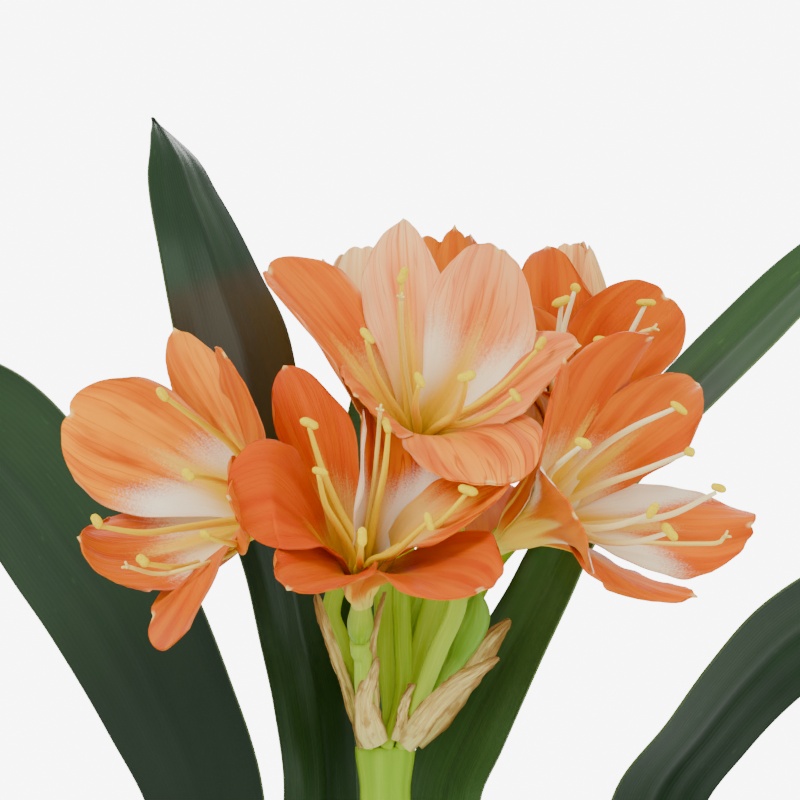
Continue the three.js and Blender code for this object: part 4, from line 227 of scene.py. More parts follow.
LEAVES = [
  ["leaf_tall", [
    [[-20,2,150.3],[.148,-.988,.048],12.5],
    [[-21,5,215],[.447,-.893,.048],12],
    [[-21,9,290],[.8,-.599,.022],11.5],
    [[-18,14,384.1],[.838,.546,-.029],12],
    [[-20.4,16,412.3],[.838,.542,.071],12.9],
    [[-24.6,17,432.1],[.737,.667,.11],14.3],
    [[-28.3,18,451.9],[.714,.69,.121],15.6],
    [[-32.8,18,471.8],[.706,.692,.152],18.5],
    [[-37.3,17,494.6],[.682,.707,.188],20.5],
    [[-42,16,513],[.686,.683,.25],21],
    [[-47.2,15,528.6],[.632,.733,.253],19],
    [[-51.8,15,542.8],[.609,.773,.175],17],
    [[-56.5,17,555.6],[.621,.779,.089],14],
    [[-60,20,566.3],[.613,.79,.021],10.2],
    [[-66.6,24,577.9],[.461,.883,-.091],1.5],
  ]],
  ["leaf_wide_left", [
    [[-28,0,150.3],[0,-1,0],13],
    [[-31,0,220],[.367,-.93,.035],12.5],
    [[-40,1,305],[.798,-.592,.108],14],
    [[-51.1,3,385.1],[.887,-.418,.197],18.5],
    [[-62.2,5,413.1],[.844,-.348,.409],21],
    [[-76.48,8.2,440.75],[.765,-.395,.508],24],
    [[-88.4,10,456.5],[.663,-.477,.577],24.4],
    [[-100.36,10.53,472.54],[.603,-.52,.605],24.3],
    [[-115.84,9.27,488.06],[.487,-.578,.654],24.8],
    [[-135.53,5.82,498.03],[.365,-.681,.635],22.3],
    [[-155.32,2.25,502.34],[.241,-.728,.642],18],
    [[-173.6,0,500.8],[.091,-.774,.626],11],
    [[-188.5,-3,496.8],[.011,-.814,.581],2],
  ]],
  ["leaf_right_behind", [
    [[14,3,150.3],[0,-.998,.057],12.5],
    [[14.5,7,220],[-.448,-.893,.049],12],
    [[14.5,11,300],[-.8,-.599,.038],11.5],
    [[16.4,15,384],[-.839,.543,.04],12.5],
    [[23.2,17,402.3],[-.744,.622,.244],13.5],
    [[34.1,21,422.8],[-.627,.762,.164],14.5],
    [[44.2,26,440.8],[-.567,.822,.056],15.5],
    [[51.9,31,455.8],[-.511,.859,.032],16.5],
    [[64.8,37,474.3],[-.453,.887,.089],17.5],
    [[78,41,489.3],[-.41,.9,.147],18],
    [[90.25,43.64,501.92],[-.373,.906,.2],18.2],
    [[106.56,44.47,518.1],[-.327,.898,.295],16.9],
    [[120.77,43.48,531.84],[-.22,.894,.391],15.9],
    [[137.61,41.11,545.06],[-.106,.891,.442],14.6],
    [[155.9,38,555.2],[-.016,.895,.446],12.5],
    [[172.8,35,560.8],[.076,.912,.404],8.5],
    [[186.7,32,562.9],[.131,.903,.408],1.5],
  ]],
  ["leaf_low_right", [
    [[22,0,150.3],[-.003,-1,-.03],13],
    [[29,-2,215],[-.329,-.944,.024],13],
    [[47,-5,300],[-.716,-.677,.169],14.5],
    [[75.3,-9,386.2],[-.7,-.68,.18],18.9],
    [[88.7,-13,405.2],[-.601,-.752,.27],20],
    [[101.12,-17.37,420.87],[-.569,-.748,.341],20.9],
    [[113.82,-20.76,433.15],[-.479,-.756,.445],22.6],
    [[130.73,-23.76,443.03],[-.373,-.758,.534],22.4],
    [[149.4,-26,448.6],[-.232,-.779,.582],19.5],
    [[167.7,-28,450.4],[-.077,-.809,.582],16.5],
    [[184.4,-30,447.7],[.049,-.849,.526],11],
    [[196.5,-31,442.9],[.088,-.91,.406],2],
  ]],
  ["leaf_dark_middle", [
    [[-12.5,4,150.3],[-.003,-.987,.159],11],
    [[-14,16,225],[.409,-.898,.161],10.5],
    [[-14.5,30,300],[.803,-.587,.1],10],
    [[-11.7,41,381.6],[.9,.42,-.1],12.5],
    [[-10.3,47,410.1],[.9,.42,-.1],12.5],
    [[-6.9,52,439],[.9,.42,-.1],12.5],
    [[-6.9,56,462.2],[.723,.655,-.22],11],
    [[-4.3,60,482.7],[.721,.647,-.248],11],
    [[-2,64,497.4],[.719,.605,-.343],10],
    [[.1,69,507.8],[.651,.619,-.439],7],
    [[1.5,74,516.7],[.524,.704,-.479],1.5],
  ]],
  ["leaf_outer_left", [
    [[-35.5,0,150.3],[-.011,-.999,.043],14],
    [[-52,3,215],[.276,-.947,.164],15],
    [[-88,8,285],[.222,-.946,.238],18],
    [[-132,12,325],[.058,-.967,.25],20],
    [[-178,15,333],[-.076,-.988,.134],19.5],
    [[-220,17,312],[-.075,-.996,.042],16],
    [[-250,18,275],[-.006,-1,-.01],10.5],
    [[-266,18,238],[0,-1,0],1.5],
  ]],
  ["leaf_outer_right", [
    [[30,-1,150.3],[-.017,-.998,-.067],14],
    [[48,-6,220],[-.244,-.97,.008],15],
    [[86,-14,290],[-.267,-.962,.06],18],
    [[130,-22,328],[-.222,-.968,.118],20],
    [[176,-29,336],[-.111,-.98,.167],19],
    [[218,-34,316],[-.022,-.993,.118],15],
    [[246,-37,282],[-.027,-.999,.041],9.5],
    [[262,-38,248],[-.011,-1,.024],1.5],
  ]],
  ["leaf_rear_left", [
    [[-10,19,150.3],[-.888,-.457,-.038],12],
    [[-23,38,225],[-.896,-.442,-.038],13],
    [[-42,72,290],[-.875,-.484,-.018],16],
    [[-66,112,325],[-.843,-.533,.071],18],
    [[-88,150,330],[-.88,-.462,.115],17],
    [[-106,184,308],[-.894,-.447,0],13.5],
    [[-117,208,274],[-.9,-.436,-.02],8.5],
    [[-122,220,244],[-.899,-.437,-.025],1.5],
  ]],
  ["leaf_rear_right", [
    [[11,20,150.3],[-.889,.457,.035],12],
    [[24,40,220],[-.918,.385,.093],13],
    [[46,72,280],[-.882,.43,.19],16],
    [[76,106,312],[-.764,.605,.224],17.5],
    [[106,136,312],[-.687,.726,.029],16.5],
    [[132,160,288],[-.744,.659,-.11],13],
    [[150,176,254],[-.756,.651,-.065],8],
    [[158,184,226],[-.771,.636,-.038],1.5],
  ]],
  ["leaf_young_front", [
    [[7,-15,150.3],[-.957,-.289,.007],11],
    [[12,-30,215],[-.969,-.237,.066],12],
    [[25,-55,270],[-.943,-.297,.148],14.5],
    [[42,-84,298],[-.876,-.442,.195],15.5],
    [[60,-112,298],[-.831,-.555,.038],14],
    [[75,-135,275],[-.87,-.489,-.056],9.5],
    [[84,-149,248],[-.88,-.473,-.048],1.5],
  ]],
]
BRACTS = [
  ["bract_front", [
    [[-2.5,-9.5,401.3],[.96,0,.28],3.8],
    [[-3.9,-11.5,405.1],[.964,0,.266],4],
    [[-5.1,-14,410.2],[.96,.156,.233],3.3],
    [[-5.4,-16.5,415.1],[.949,.306,.071],2.7],
    [[-3.8,-19,420.2],[.912,.396,-.109],2],
    [[-1.9,-21,426.7],[.865,.48,-.148],.6],
  ]],
  ["bract_left", [
    [[-5.6,-3,401.3],[.357,.791,.496],3],
    [[-7.2,-6,407.7],[.287,.841,.459],3],
    [[-9.3,-9,415.4],[.251,.881,.402],2.9],
    [[-12.6,-12,424.8],[.246,.913,.326],2.5],
    [[-16.1,-14,434.6],[.289,.929,.23],2.1],
    [[-18.8,-15,443.8],[.389,.901,.191],.9],
  ]],
  ["bract_right", [
    [[4.8,-9,401.8],[.579,-.306,-.756],3.2],
    [[8.61,-11.81,406.57],[.57,-.377,-.73],3.7],
    [[13.13,-15.59,412.95],[.523,-.451,-.723],3.4],
    [[19.53,-19.89,419.05],[.372,-.526,-.765],3],
    [[25.6,-23,423],[.291,-.54,-.79],2.3],
    [[31.3,-25,426.7],[.351,-.48,-.804],.9],
  ]],
  ["bract_back_right", [
    [[8.1,6,401.2],[.783,-.231,-.577],2.8],
    [[14.9,11,408.4],[.793,-.244,-.558],3.8],
    [[22.9,14,418.6],[.793,-.337,-.507],3.6],
    [[29.1,15,427.9],[.722,-.423,-.548],2.8],
    [[35.4,14,435.1],[.619,-.497,-.608],.9],
  ]],
  ["bract_back", [
    [[-.8,-4.5,402],[.698,.573,.429],2],
    [[-2.5,-9,410.7],[.529,.77,.356],2.4],
    [[-3.3,-11,419.7],[.462,.871,.167],2.4],
    [[-3.3,-12,428.6],[.41,.912,.02],2.1],
    [[-1.9,-12,437],[.354,.925,-.136],1.6],
    [[0,-11,444.1],[.376,.898,-.227],.6],
  ]],
  ["bract_small", [
    [[3.4,-8.5,402.6],[.979,0,-.203],1.6],
    [[4.5,-9.5,407.9],[.979,0,-.203],1.5],
    [[5.6,-11,413.3],[.955,0,-.296],1.3],
    [[7.8,-12,418.7],[.923,0,-.384],.7],
  ]],
]
BUD = [[[3.9,-1,402],2],[[9.8,-4,410.3],2],[[15.6,-4,418.7],2.1],[[19.6,-1,424.1],2.6],[[22.6,-2,430.3],4.2],[[25.1,-3,436.5],4.4],[[25.7,-4,440.8],2.8],[[25.7,-4.5,443.8],.6]]

# ------------------------------------------------------------------ camera first
cam_data = bpy.data.cameras.new("camera")
cam_data.sensor_width = 36.0
cam_data.lens = 192.86
cam_data.clip_start = 0.05
cam_data.clip_end = 50.0
cam = bpy.data.objects.new("camera", cam_data)
bpy.context.scene.collection.objects.link(cam)
cam.location = (0.0042, -1.2, 0.4974)
cam.rotation_euler = (math.radians(90), 0, 0)
bpy.context.scene.camera = cam

# ------------------------------------------------------------------ mesh builder
class Build:
    def __init__(self):
        self.v = []; self.f = []; self.uv = []; self.m = []; self.tc = []; self.td = []; self.n = 0
    def grid(self, P, U, V, mat=0, flip=False, tc=(0, 0, 0, 0), td=(0, 0, 0, 0)):
        """P (n,m,3) in mm, U and V (n,m)."""
        n, m = P.shape[:2]
        idx = np.arange(n * m).reshape(n, m) + self.n
        self.v.append(P.reshape(-1, 3)); self.uv.append(np.stack([U, V], -1).reshape(-1, 2))
        self.tc.append(np.tile(np.array(tc, float), (n * m, 1))); self.td.append(np.tile(np.array(td, float), (n * m, 1))); self.n += n * m
        a, b, c, d = idx[:-1, :-1], idx[1:, :-1], idx[1:, 1:], idx[:-1, 1:]
        q = np.stack([a, b, c, d], -1).reshape(-1, 4)
        if flip: q = q[:, ::-1]
        self.f.append(q); self.m.append(np.full(len(q), mat))
    def blade(self, T, B, U, V, mt, mb, tc=(0, 0, 0, 0), td=(0, 0, 0, 0)):
        """Closed sheet: face T, back B, and the rim between them."""
        self.grid(T, U, V, mt, False, tc, td); self.grid(B, U, V, mb, True, tc, td)
        def ring(Q):
            return np.concatenate([Q[:-1, 0], Q[-1, :-1], Q[:0:-1, -1], Q[0, ::-1]])
        rt, rb, ru, rv = ring(T), ring(B), ring(U[..., None])[:, 0], ring(V[..., None])[:, 0]
        self.grid(np.stack([rt, rb]), np.stack([ru, ru]), np.stack([rv, rv]), mt, True, tc, td)
    def obj(self, name, mats, nodes=(), slot=None, angle=60):
        v = np.concatenate(self.v) * MM; f = np.concatenate(self.f); uv = np.concatenate(self.uv); mi = np.concatenate(self.m); tc = np.concatenate(self.tc)
        me = bpy.data.meshes.new(name)
        me.vertices.add(len(v)); me.vertices.foreach_set("co", v.astype(np.float32).ravel())
        me.loops.add(f.size); me.loops.foreach_set("vertex_index", f.astype(np.int32).ravel())
        me.polygons.add(len(f)); me.polygons.foreach_set("loop_start", np.arange(0, f.size, 4, dtype=np.int32))
        me.polygons.foreach_set("material_index", mi.astype(np.int32))
        me.polygons.foreach_set("use_smooth", np.ones(len(f), dtype=bool))
        me.update(calc_edges=True)
        l = me.uv_layers.new(name="uv"); l.data.foreach_set("uv", uv[f.ravel()].astype(np.float32).ravel())
        a = me.attributes.new("tc", "FLOAT_COLOR", "POINT"); a.data.foreach_set("color", tc.astype(np.float32).ravel())
        td = np.concatenate(self.td)
        if np.any(td): me.attributes.new("td", "FLOAT_COLOR", "POINT").data.foreach_set("color", td.astype(np.float32).ravel())
        for m in mats: me.materials.append(m)
        me.validate()
        bm = bmesh.new(); bm.from_mesh(me); bmesh.ops.remove_doubles(bm, verts=bm.verts, dist=2e-6); bm.to_mesh(me); bm.free(); me.update()
        o = bpy.data.objects.new(name, me); bpy.context.scene.collection.objects.link(o)
        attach(o, "root")
        if nodes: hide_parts(*nodes)
        return o

def unit(a):
    a = np.asarray(a, float); return a / np.maximum(np.linalg.norm(a, axis=-1, keepdims=True), 1e-9)
def bern(c, u):
    n = len(c) - 1; r = 0
    for k in range(n + 1): r = r + math.comb(n, k) * c[k] * (1 - u) ** (n - k) * u ** k
    return r
def herm(xs, ys, u):
    xs = np.asarray(xs, float); ys = np.asarray(ys, float)
    m = np.zeros_like(ys); m[1:-1] = (ys[2:] - ys[:-2]) / (xs[2:] - xs[:-2]); m[0] = (ys[1] - ys[0]) / (xs[1] - xs[0]); m[-1] = (ys[-1] - ys[-2]) / (xs[-1] - xs[-2])
    i = np.clip(np.searchsorted(xs, u, side="right") - 1, 0, len(xs) - 2); h = xs[i + 1] - xs[i]; t = (u - xs[i]) / h
    return (2*t**3 - 3*t**2 + 1) * ys[i] + (t**3 - 2*t**2 + t) * h * m[i] + (-2*t**3 + 3*t**2) * ys[i + 1] + (t**3 - t**2) * h * m[i + 1]
def smooth(a, b, x):
    t = np.clip((x - a) / (b - a), 0, 1); return t * t * (3 - 2 * t)
def curve(points, n, ends=True):
    """Centripetal Catmull-Rom through the points, n+1 even samples."""
    p = np.array(points, float)
    if len(p) == 2: return p[0] + (p[1] - p[0]) * np.linspace(0, 1, n + 1)[:, None]
    q = np.vstack([2 * p[0] - p[1], p, 2 * p[-1] - p[-2]])
    t = np.r_[0, np.cumsum(np.linalg.norm(np.diff(q, axis=0), axis=1) ** 0.5 + 1e-6)]
    out = []
    for i in range(1, len(q) - 2):
        u = np.linspace(t[i], t[i + 1], 24, endpoint=False)[:, None]
        A1 = (t[i]-u)/(t[i]-t[i-1])*q[i-1] + (u-t[i-1])/(t[i]-t[i-1])*q[i]; A2 = (t[i+1]-u)/(t[i+1]-t[i])*q[i] + (u-t[i])/(t[i+1]-t[i])*q[i+1]; A3 = (t[i+2]-u)/(t[i+2]-t[i+1])*q[i+1] + (u-t[i+1])/(t[i+2]-t[i+1])*q[i+2]
        B1 = (t[i+1]-u)/(t[i+1]-t[i-1])*A1 + (u-t[i-1])/(t[i+1]-t[i-1])*A2; B2 = (t[i+2]-u)/(t[i+2]-t[i])*A2 + (u-t[i])/(t[i+2]-t[i])*A3
        out.append((t[i+1]-u)/(t[i+1]-t[i])*B1 + (u-t[i])/(t[i+1]-t[i])*B2)
    out = np.vstack(out + [p[-1:]]); d = np.r_[0, np.cumsum(np.linalg.norm(np.diff(out, axis=0), axis=1))]; d /= d[-1]
    s = np.linspace(0, 1, n + 1); return np.stack([np.interp(s, d, out[:, k]) for k in range(3)], 1)
def frames(C, hint=None):
    T = unit(np.gradient(C, axis=0)); N = np.zeros_like(T)
    a = np.array(hint if hint is not None else (0.3, -1, 0.2), float); a = unit(a - T[0] * (a @ T[0])); N[0] = a
    for i in range(1, len(C)):
        a = N[i - 1] - T[i] * (N[i - 1] @ T[i]); N[i] = unit(a)
    return T, N, np.cross(T, N)
def tube(b, C, R, sides, mat=0, tc=(0, 0, 0, 0), ridges=0, depth=0, flat=1.0, hint=None, cap=True):
    """Round stem along C with radii R; ridges run lengthwise."""
    T, N, B = frames(C, hint); n = len(C); R = np.broadcast_to(np.asarray(R, float), (n,))
    ph = np.linspace(0, 2 * np.pi, sides + 1); rr = 1 + depth * np.cos(ridges * ph)
    Q = C[:, None] + R[:, None, None] * rr[None, :, None] * (N[:, None] * np.cos(ph)[None, :, None] + B[:, None] * np.sin(ph)[None, :, None] * flat)
    if cap:
        a0, a1 = C[0] - T[0] * R[0] * 0.35, C[-1] + T[-1] * R[-1] * 0.35
        Q = np.concatenate([np.broadcast_to(a0, (1, sides + 1, 3)), Q[:1] * 0.5 + C[0] * 0.5 - T[0] * R[0] * 0.22, Q, Q[-1:] * 0.5 + C[-1] * 0.5 + T[-1] * R[-1] * 0.22, np.broadcast_to(a1, (1, sides + 1, 3))])
        u = np.r_[0, 0, np.linspace(0, 1, n), 1, 1]
    else: u = np.linspace(0, 1, n)
    U, V = np.meshgrid(u, ph / (2 * np.pi), indexing="ij")
    b.grid(Q, U, V, mat, True, tc)
def turned(b, prof, a, c, sides, mat=0, tc=(0, 0, 0, 0), lobes=0, depth=0.0, flip=False):
    """Turned piece along a -> c: profile of (radius, distance)."""
    a = np.array(a, float); T = unit(np.array(c, float) - a); h = np.array([0, 0, 1.0]) if abs(T[2]) < 0.9 else np.array([1.0, 0, 0]); N = unit(h - T * (h @ T)); B = np.cross(T, N)
    ph = np.linspace(0, 2 * np.pi, sides + 1); pr = np.array(prof, float); k = 1 + depth * np.cos(lobes * ph)
    Q = a + T * pr[:, 1][:, None, None] + pr[:, 0][:, None, None] * k[None, :, None] * (N * np.cos(ph)[:, None] + B * np.sin(ph)[:, None])[None]
    d = np.r_[0, np.cumsum(np.linalg.norm(np.diff(pr, axis=0), axis=1))]; U, V = np.meshgrid(d / d[-1], ph / (2 * np.pi), indexing="ij")
    b.grid(Q, U, V, mat, not flip, tc)
def fine(prof, n):
    """Smooth profile through the points."""
    p = np.array(prof, float); q = np.c_[p, np.zeros(len(p))]; return curve(q, n)[:, :2]

# ------------------------------------------------------------------ material helpers
class G:
    def __init__(self, name):
        self.mat = bpy.data.materials.new(name); self.mat.use_nodes = True
        self.t = self.mat.node_tree; self.t.nodes.clear()
        self.out = self.t.nodes.new("ShaderNodeOutputMaterial"); self.p = self.t.nodes.new("ShaderNodeBsdfPrincipled")
        self.t.links.new(self.p.outputs[0], self.out.inputs[0])
    def node(self, kind, ins=(), **kw):
        n = self.t.nodes.new(kind)
        for k, v in kw.items(): setattr(n, k, v)
        for k, v in (ins.items() if isinstance(ins, dict) else enumerate(ins)):
            if v is None: continue
            s = n.inputs[k]
            if isinstance(v, bpy.types.NodeSocket): self.t.links.new(v, s)
            else: s.default_value = v
        return n
    def m(self, op, a, b=None, c=None, clamp=False):
        n = self.node("ShaderNodeMath", [a, b, c], operation=op); n.use_clamp = clamp; return n.outputs[0]
    def add(self, a, b): return self.m("ADD", a, b)
    def sub(self, a, b): return self.m("SUBTRACT", a, b)
    def mul(self, a, b): return self.m("MULTIPLY", a, b)
    def step(self, x, a, b, lo=0.0, hi=1.0):
        n = self.node("ShaderNodeMapRange", [x, a, b, lo, hi]); n.interpolation_type = "SMOOTHSTEP"; return n.outputs[0]
    def mix(self, f, a, b, blend="MIX"):
        n = self.t.nodes.new("ShaderNodeMix"); n.data_type = "RGBA"; n.blend_type = blend; n.clamp_result = True
        for s, v in ((n.inputs[0], f), (n.inputs[6], a), (n.inputs[7], b)):
            if isinstance(v, bpy.types.NodeSocket): self.t.links.new(v, s)
            else: s.default_value = v if not isinstance(v, tuple) else (*v[:3], 1.0)
        return n.outputs[2]
    def uv(self):
        n = self.node("ShaderNodeUVMap"); n.uv_map = "uv"; s = self.node("ShaderNodeSeparateXYZ", [n.outputs[0]]); return s.outputs[0], s.outputs[1]
    def tc(self):
        n = self.node("ShaderNodeAttribute"); n.attribute_name = "tc"; n.attribute_type = "GEOMETRY"; s = self.node("ShaderNodeSeparateColor", [n.outputs[0]]); return s.outputs[0], s.outputs[1], s.outputs[2], n.outputs[3]
    def td(self):
        n = self.node("ShaderNodeAttribute"); n.attribute_name = "td"; n.attribute_type = "GEOMETRY"; s = self.node("ShaderNodeSeparateColor", [n.outputs[0]]); return s.outputs[0], s.outputs[1], s.outputs[2], n.outputs[3]
    def vec(self, x, y=0.0, z=0.0): return self.node("ShaderNodeCombineXYZ", [x, y, z]).outputs[0]
    def noise(self, v, scale=1.0, detail=3.0, rough=0.5, dist=0.0, dims="3D"):
        n = self.node("ShaderNodeTexNoise", {"Vector": v, "Scale": scale, "Detail": detail, "Roughness": rough, "Distortion": dist}); return n.outputs["Fac"]
    def obj(self): return self.node("ShaderNodeTexCoord").outputs["Object"]
    def bump(self, h, dist, strength=1.0, normal=None):
        n = self.node("ShaderNodeBump", {"Height": h, "Distance": dist, "Strength": strength}); 
        if normal is not None: self.t.links.new(normal, n.inputs["Normal"])
        return n.outputs[0]
    def put(self, **kw):
        names = {"color": "Base Color", "rough": "Roughness", "normal": "Normal", "sss": "Subsurface Weight", "sss_scale": "Subsurface Scale", "sss_radius": "Subsurface Radius", "coat": "Coat Weight", "coat_rough": "Coat Roughness", "sheen": "Sheen Weight", "spec": "Specular IOR Level", "ior": "IOR", "sheen_rough": "Sheen Roughness", "tint": "Specular Tint"}
        for k, v in kw.items():
            s = self.p.inputs[names[k]]
            if isinstance(v, bpy.types.NodeSocket): self.t.links.new(v, s)
            else: s.default_value = (*v, 1.0) if k in ("color", "tint") else v
        return self.mat

def srgb(h):
    h = h.lstrip("#"); c = [int(h[i:i + 2], 16) / 255 for i in (0, 2, 4)]
    return tuple(x / 12.92 if x <= 0.04045 else ((x + 0.055) / 1.055) ** 2.4 for x in c)

# ------------------------------------------------------------------ materials
def petal(name, deep, mid, pale, yellow, white, b0=0.34, bmid=0.18, feather=0.10, rough=0.40, edge=0.25, claw=(.80, .62, .10), c0=0.0, c1=-0.22, tint=(1.0, .45, .10)):
    """Tepal face. uv.x runs from the throat (0) to the tip (1), uv.y across."""
    g = G(name); u, v = g.uv(); tp, tr, tb, tn = g.tc(); tl, tm, tw, tv = g.td()
    vs = g.sub(g.mul(v, 2.0), 1.0); av = g.m("ABSOLUTE", vs)
    broad = g.noise(g.vec(g.add(g.mul(u, 2.4), g.mul(tn, 9.0)), g.mul(v, 3.2), g.mul(tn, 7.0)), 1.0, 2.0, 0.5)
    streak = g.noise(g.vec(g.add(g.mul(u, 1.5), g.mul(tn, 17.0)), g.mul(v, 27.0), tn), 1.0, 3.0, 0.6)
    wide = g.noise(g.vec(g.add(g.mul(u, 1.0), g.mul(tn, 5.0)), g.mul(v, 8.0), g.mul(tn, 3.0)), 1.0, 2.0, 0.5)
    grain = g.noise(g.vec(g.mul(u, 95.0), g.mul(v, 56.0), g.mul(tn, 31.0)), 1.0, 3.0, 0.7)
    run = g.noise(g.vec(g.add(g.mul(u, 1.3), g.mul(tn, 3.0)), g.add(g.mul(v, 15.0), g.mul(broad, 1.6)), g.mul(tn, 11.0)), 1.0, 1.0, 0.45)
    lines = g.step(g.m("ABSOLUTE", g.sub(run, 0.5)), 0.040, 0.0)
    mid_line = g.m("EXPONENT", g.mul(g.m("POWER", g.m("DIVIDE", vs, 0.15), 2.0), -1.0))
    col = g.mix(g.step(broad, 0.30, 0.68), deep, mid)
    col = g.mix(g.mul(g.step(wide, 0.42, 0.70), 0.40), col, tuple(min(1, c * 1.12 + k) for c, k in zip(mid, (.02, .035, .0))))
    col = g.mix(g.m("MULTIPLY", tr, 0.85), col, tuple(c * k for c, k in zip(deep, (.95, .66, 1.0))))
    col = g.mix(g.mul(g.step(wide, 0.38, 0.60), g.mul(tv, 0.80)), col, tuple(min(1, c * 1.2 + k) for c, k in zip(mid, (.04, .11, .0))))
    pinkish = g.mix(g.step(wide, 0.36, 0.64), pale, tuple(min(1, c * k) for c, k in zip(pale, (1.0, 1.35, 1.6))))
    col = g.mix(g.mul(tp, g.m("MAXIMUM", g.step(av, 0.08, 0.75, 0.25, 1.0), g.step(u, 0.55, 1.0, 0.25, 1.0))), col, pinkish)
    twin = g.m("EXPONENT", g.mul(g.m("POWER", g.m("DIVIDE", g.sub(av, 0.10), 0.030), 2.0), -1.0))
    col = g.mix(g.mul(g.mul(twin, tp), 0.75), col, mid)
    vein = g.mul(g.mul(lines, g.step(u, 0.12, 0.5)), g.add(g.mul(tv, 0.55), 0.10))
    col = g.mix(vein, col, tuple(c * k for c, k in zip(deep, (0.80, 0.55, 0.6))))
    col = g.mix(g.mul(g.step(grain, 0.54, 0.82), 0.16), col, tuple(min(1, c * 1.25 + k) for c, k in zip(mid, (.05, .05, .0))))
    # light band, whiter along the margins, and yellow in the throat
    border = g.add(g.add(b0, g.mul(mid_line, bmid)), g.mul(g.sub(tb, 0.5), 0.8))
    border = g.add(border, g.add(g.mul(g.mul(g.step(vs, -0.20, -1.0), tl), 0.80), g.mul(g.mul(g.step(vs, 0.20, 1.0), tm), 0.80)))
    uu = g.add(g.add(u, g.mul(g.sub(grain, 0.5), feather * 2.4)), g.mul(g.sub(streak, 0.5), feather * 1.4))
    f = g.step(g.sub(uu, border), -feather, feather)
    w = g.mul(g.mul(g.step(g.add(g.add(u, g.mul(av, 0.30)), g.mul(g.sub(streak, 0.5), 0.12)), 0.22, 0.58), tw), g.step(g.add(av, g.mul(g.sub(streak, 0.5), 0.20)), 0.05, 0.50, 0.18, 1.0))
    light = g.mix(w, g.mix(g.mul(g.step(streak, 0.40, 0.66), 0.55), yellow, tuple(c * k for c, k in zip(yellow, (1.0, .78, 1.0)))), white)
    col = g.mix(f, light, col)
    col = g.mix(g.step(g.add(u, g.mul(g.sub(streak, 0.5), 0.10)), c0, c1), col, claw)
    col = g.mix(g.mul(g.step(u, -0.10, -0.27), 0.55), col, (.48, .56, .08))
    # pale rim, and the small horn at the tip
    rim = g.mul(g.step(g.add(av, g.mul(g.sub(streak, 0.5), 0.05)), 0.91, 1.0), g.add(g.mul(g.m("MAXIMUM", tl, tm), 0.4), edge))
    col = g.mix(g.mul(rim, g.step(u, 0.0, 0.2)), col, (.92, .52, .24))
    tip = g.mul(g.step(u, 0.962, 0.996), g.step(av, 0.12, 0.04))
    col = g.mix(g.mul(tip, 0.7), col, (.90, .66, .20))
    h = g.add(g.add(g.mul(streak, 0.55), g.mul(lines, -0.25)), g.mul(grain, 0.20))
    return g.put(color=col, rough=rough, normal=g.bump(h, 0.00035, 0.6), sss=0.20, sss_scale=0.0015, sss_radius=(1.0, 0.35, 0.10), spec=0.12, tint=tint)

def leafy(name, dark, light, vein, rim, rough=0.30, nveins=15.0, spec=0.26, shaded_foot=(.42, .20, .48), low=None):
    g = G(name); u, v = g.uv(); tp, tr, tb, tn = g.tc()
    vs = g.sub(g.mul(v, 2.0), 1.0); av = g.m("ABSOLUTE", vs)
    patch = g.noise(g.vec(g.add(g.mul(u, 7.0), g.mul(tn, 13.0)), g.mul(v, 2.0), tn), 1.0, 4.0, 0.55)
    fibre = g.noise(g.vec(g.add(g.mul(u, 3.5), g.mul(tn, 7.0)), g.mul(v, 60.0), tn), 1.0, 3.0, 0.6)
    cross = g.noise(g.vec(g.mul(u, 240.0), g.mul(v, 26.0), tn), 1.0, 2.0, 0.6)
    speck = g.noise(g.vec(g.mul(u, 90.0), g.mul(v, 22.0), g.mul(tn, 5.0)), 1.0, 2.0, 0.5)
    lines = g.m("POWER", g.m("ABSOLUTE", g.m("COSINE", g.mul(g.add(vs, g.mul(g.sub(patch, 0.5), 0.012)), 3.14159 * nveins))), 5.0)
    midrib = g.m("EXPONENT", g.mul(g.m("POWER", g.m("DIVIDE", vs, 0.07), 2.0), -1.0))
    col = g.mix(g.step(patch, 0.30, 0.72), dark, light)
    col = g.mix(g.mul(g.step(fibre, 0.45, 0.75), 0.45), col, light)
    col = g.mix(g.mul(lines, 0.07), col, vein)
    col = g.mix(g.mul(midrib, 0.30), col, tuple(c * 0.55 for c in dark))
    col = g.mix(g.mul(g.step(speck, 0.66, 0.80), 0.35), col, vein)
    col = g.mix(tp, col, vein)                                   # a lighter, younger leaf
    col = g.mix(g.mul(g.step(u, 0.74, 0.79), g.mul(tr, g.step(u, 0.895, 0.875))), col, (.030, .020, .006))   # painted shadow: a dark brownish stretch where the blade lies behind the flower head, warmed as by reflected orange from the flowers
    # painted shade: the blade darkened towards its foot, down among the leaves
    col = g.mix(g.step(u, shaded_foot[0], shaded_foot[1], 0.0, shaded_foot[2]), col, tuple(c * 0.35 for c in dark))
    # painted light and reflection: the lower stretch of the blade lightened to a grey-green, as the bright surroundings
    # would show in its gloss under the flowers
    if low: col = g.mix(g.mul(g.step(u, 0.72, 0.60), g.add(0.45, g.mul(g.step(fibre, 0.35, 0.70), 0.40))), col, low)
    col = g.mix(g.mul(g.step(av, 0.975, 0.998), 0.55), col, rim)
    base = g.step(u, 0.10, 0.0)
    col = g.mix(g.mul(base, 0.6), col, (.20, .34, .04))
    h = g.add(g.add(g.mul(lines, 0.10), g.mul(fibre, 0.40)), g.mul(cross, 0.05))
    r = g.add(rough - 0.06, g.mul(patch, 0.16))
    return g.put(color=col, rough=r, normal=g.bump(h, 0.0003, 0.30), spec=spec, tint=(.84, 1.0, .86))

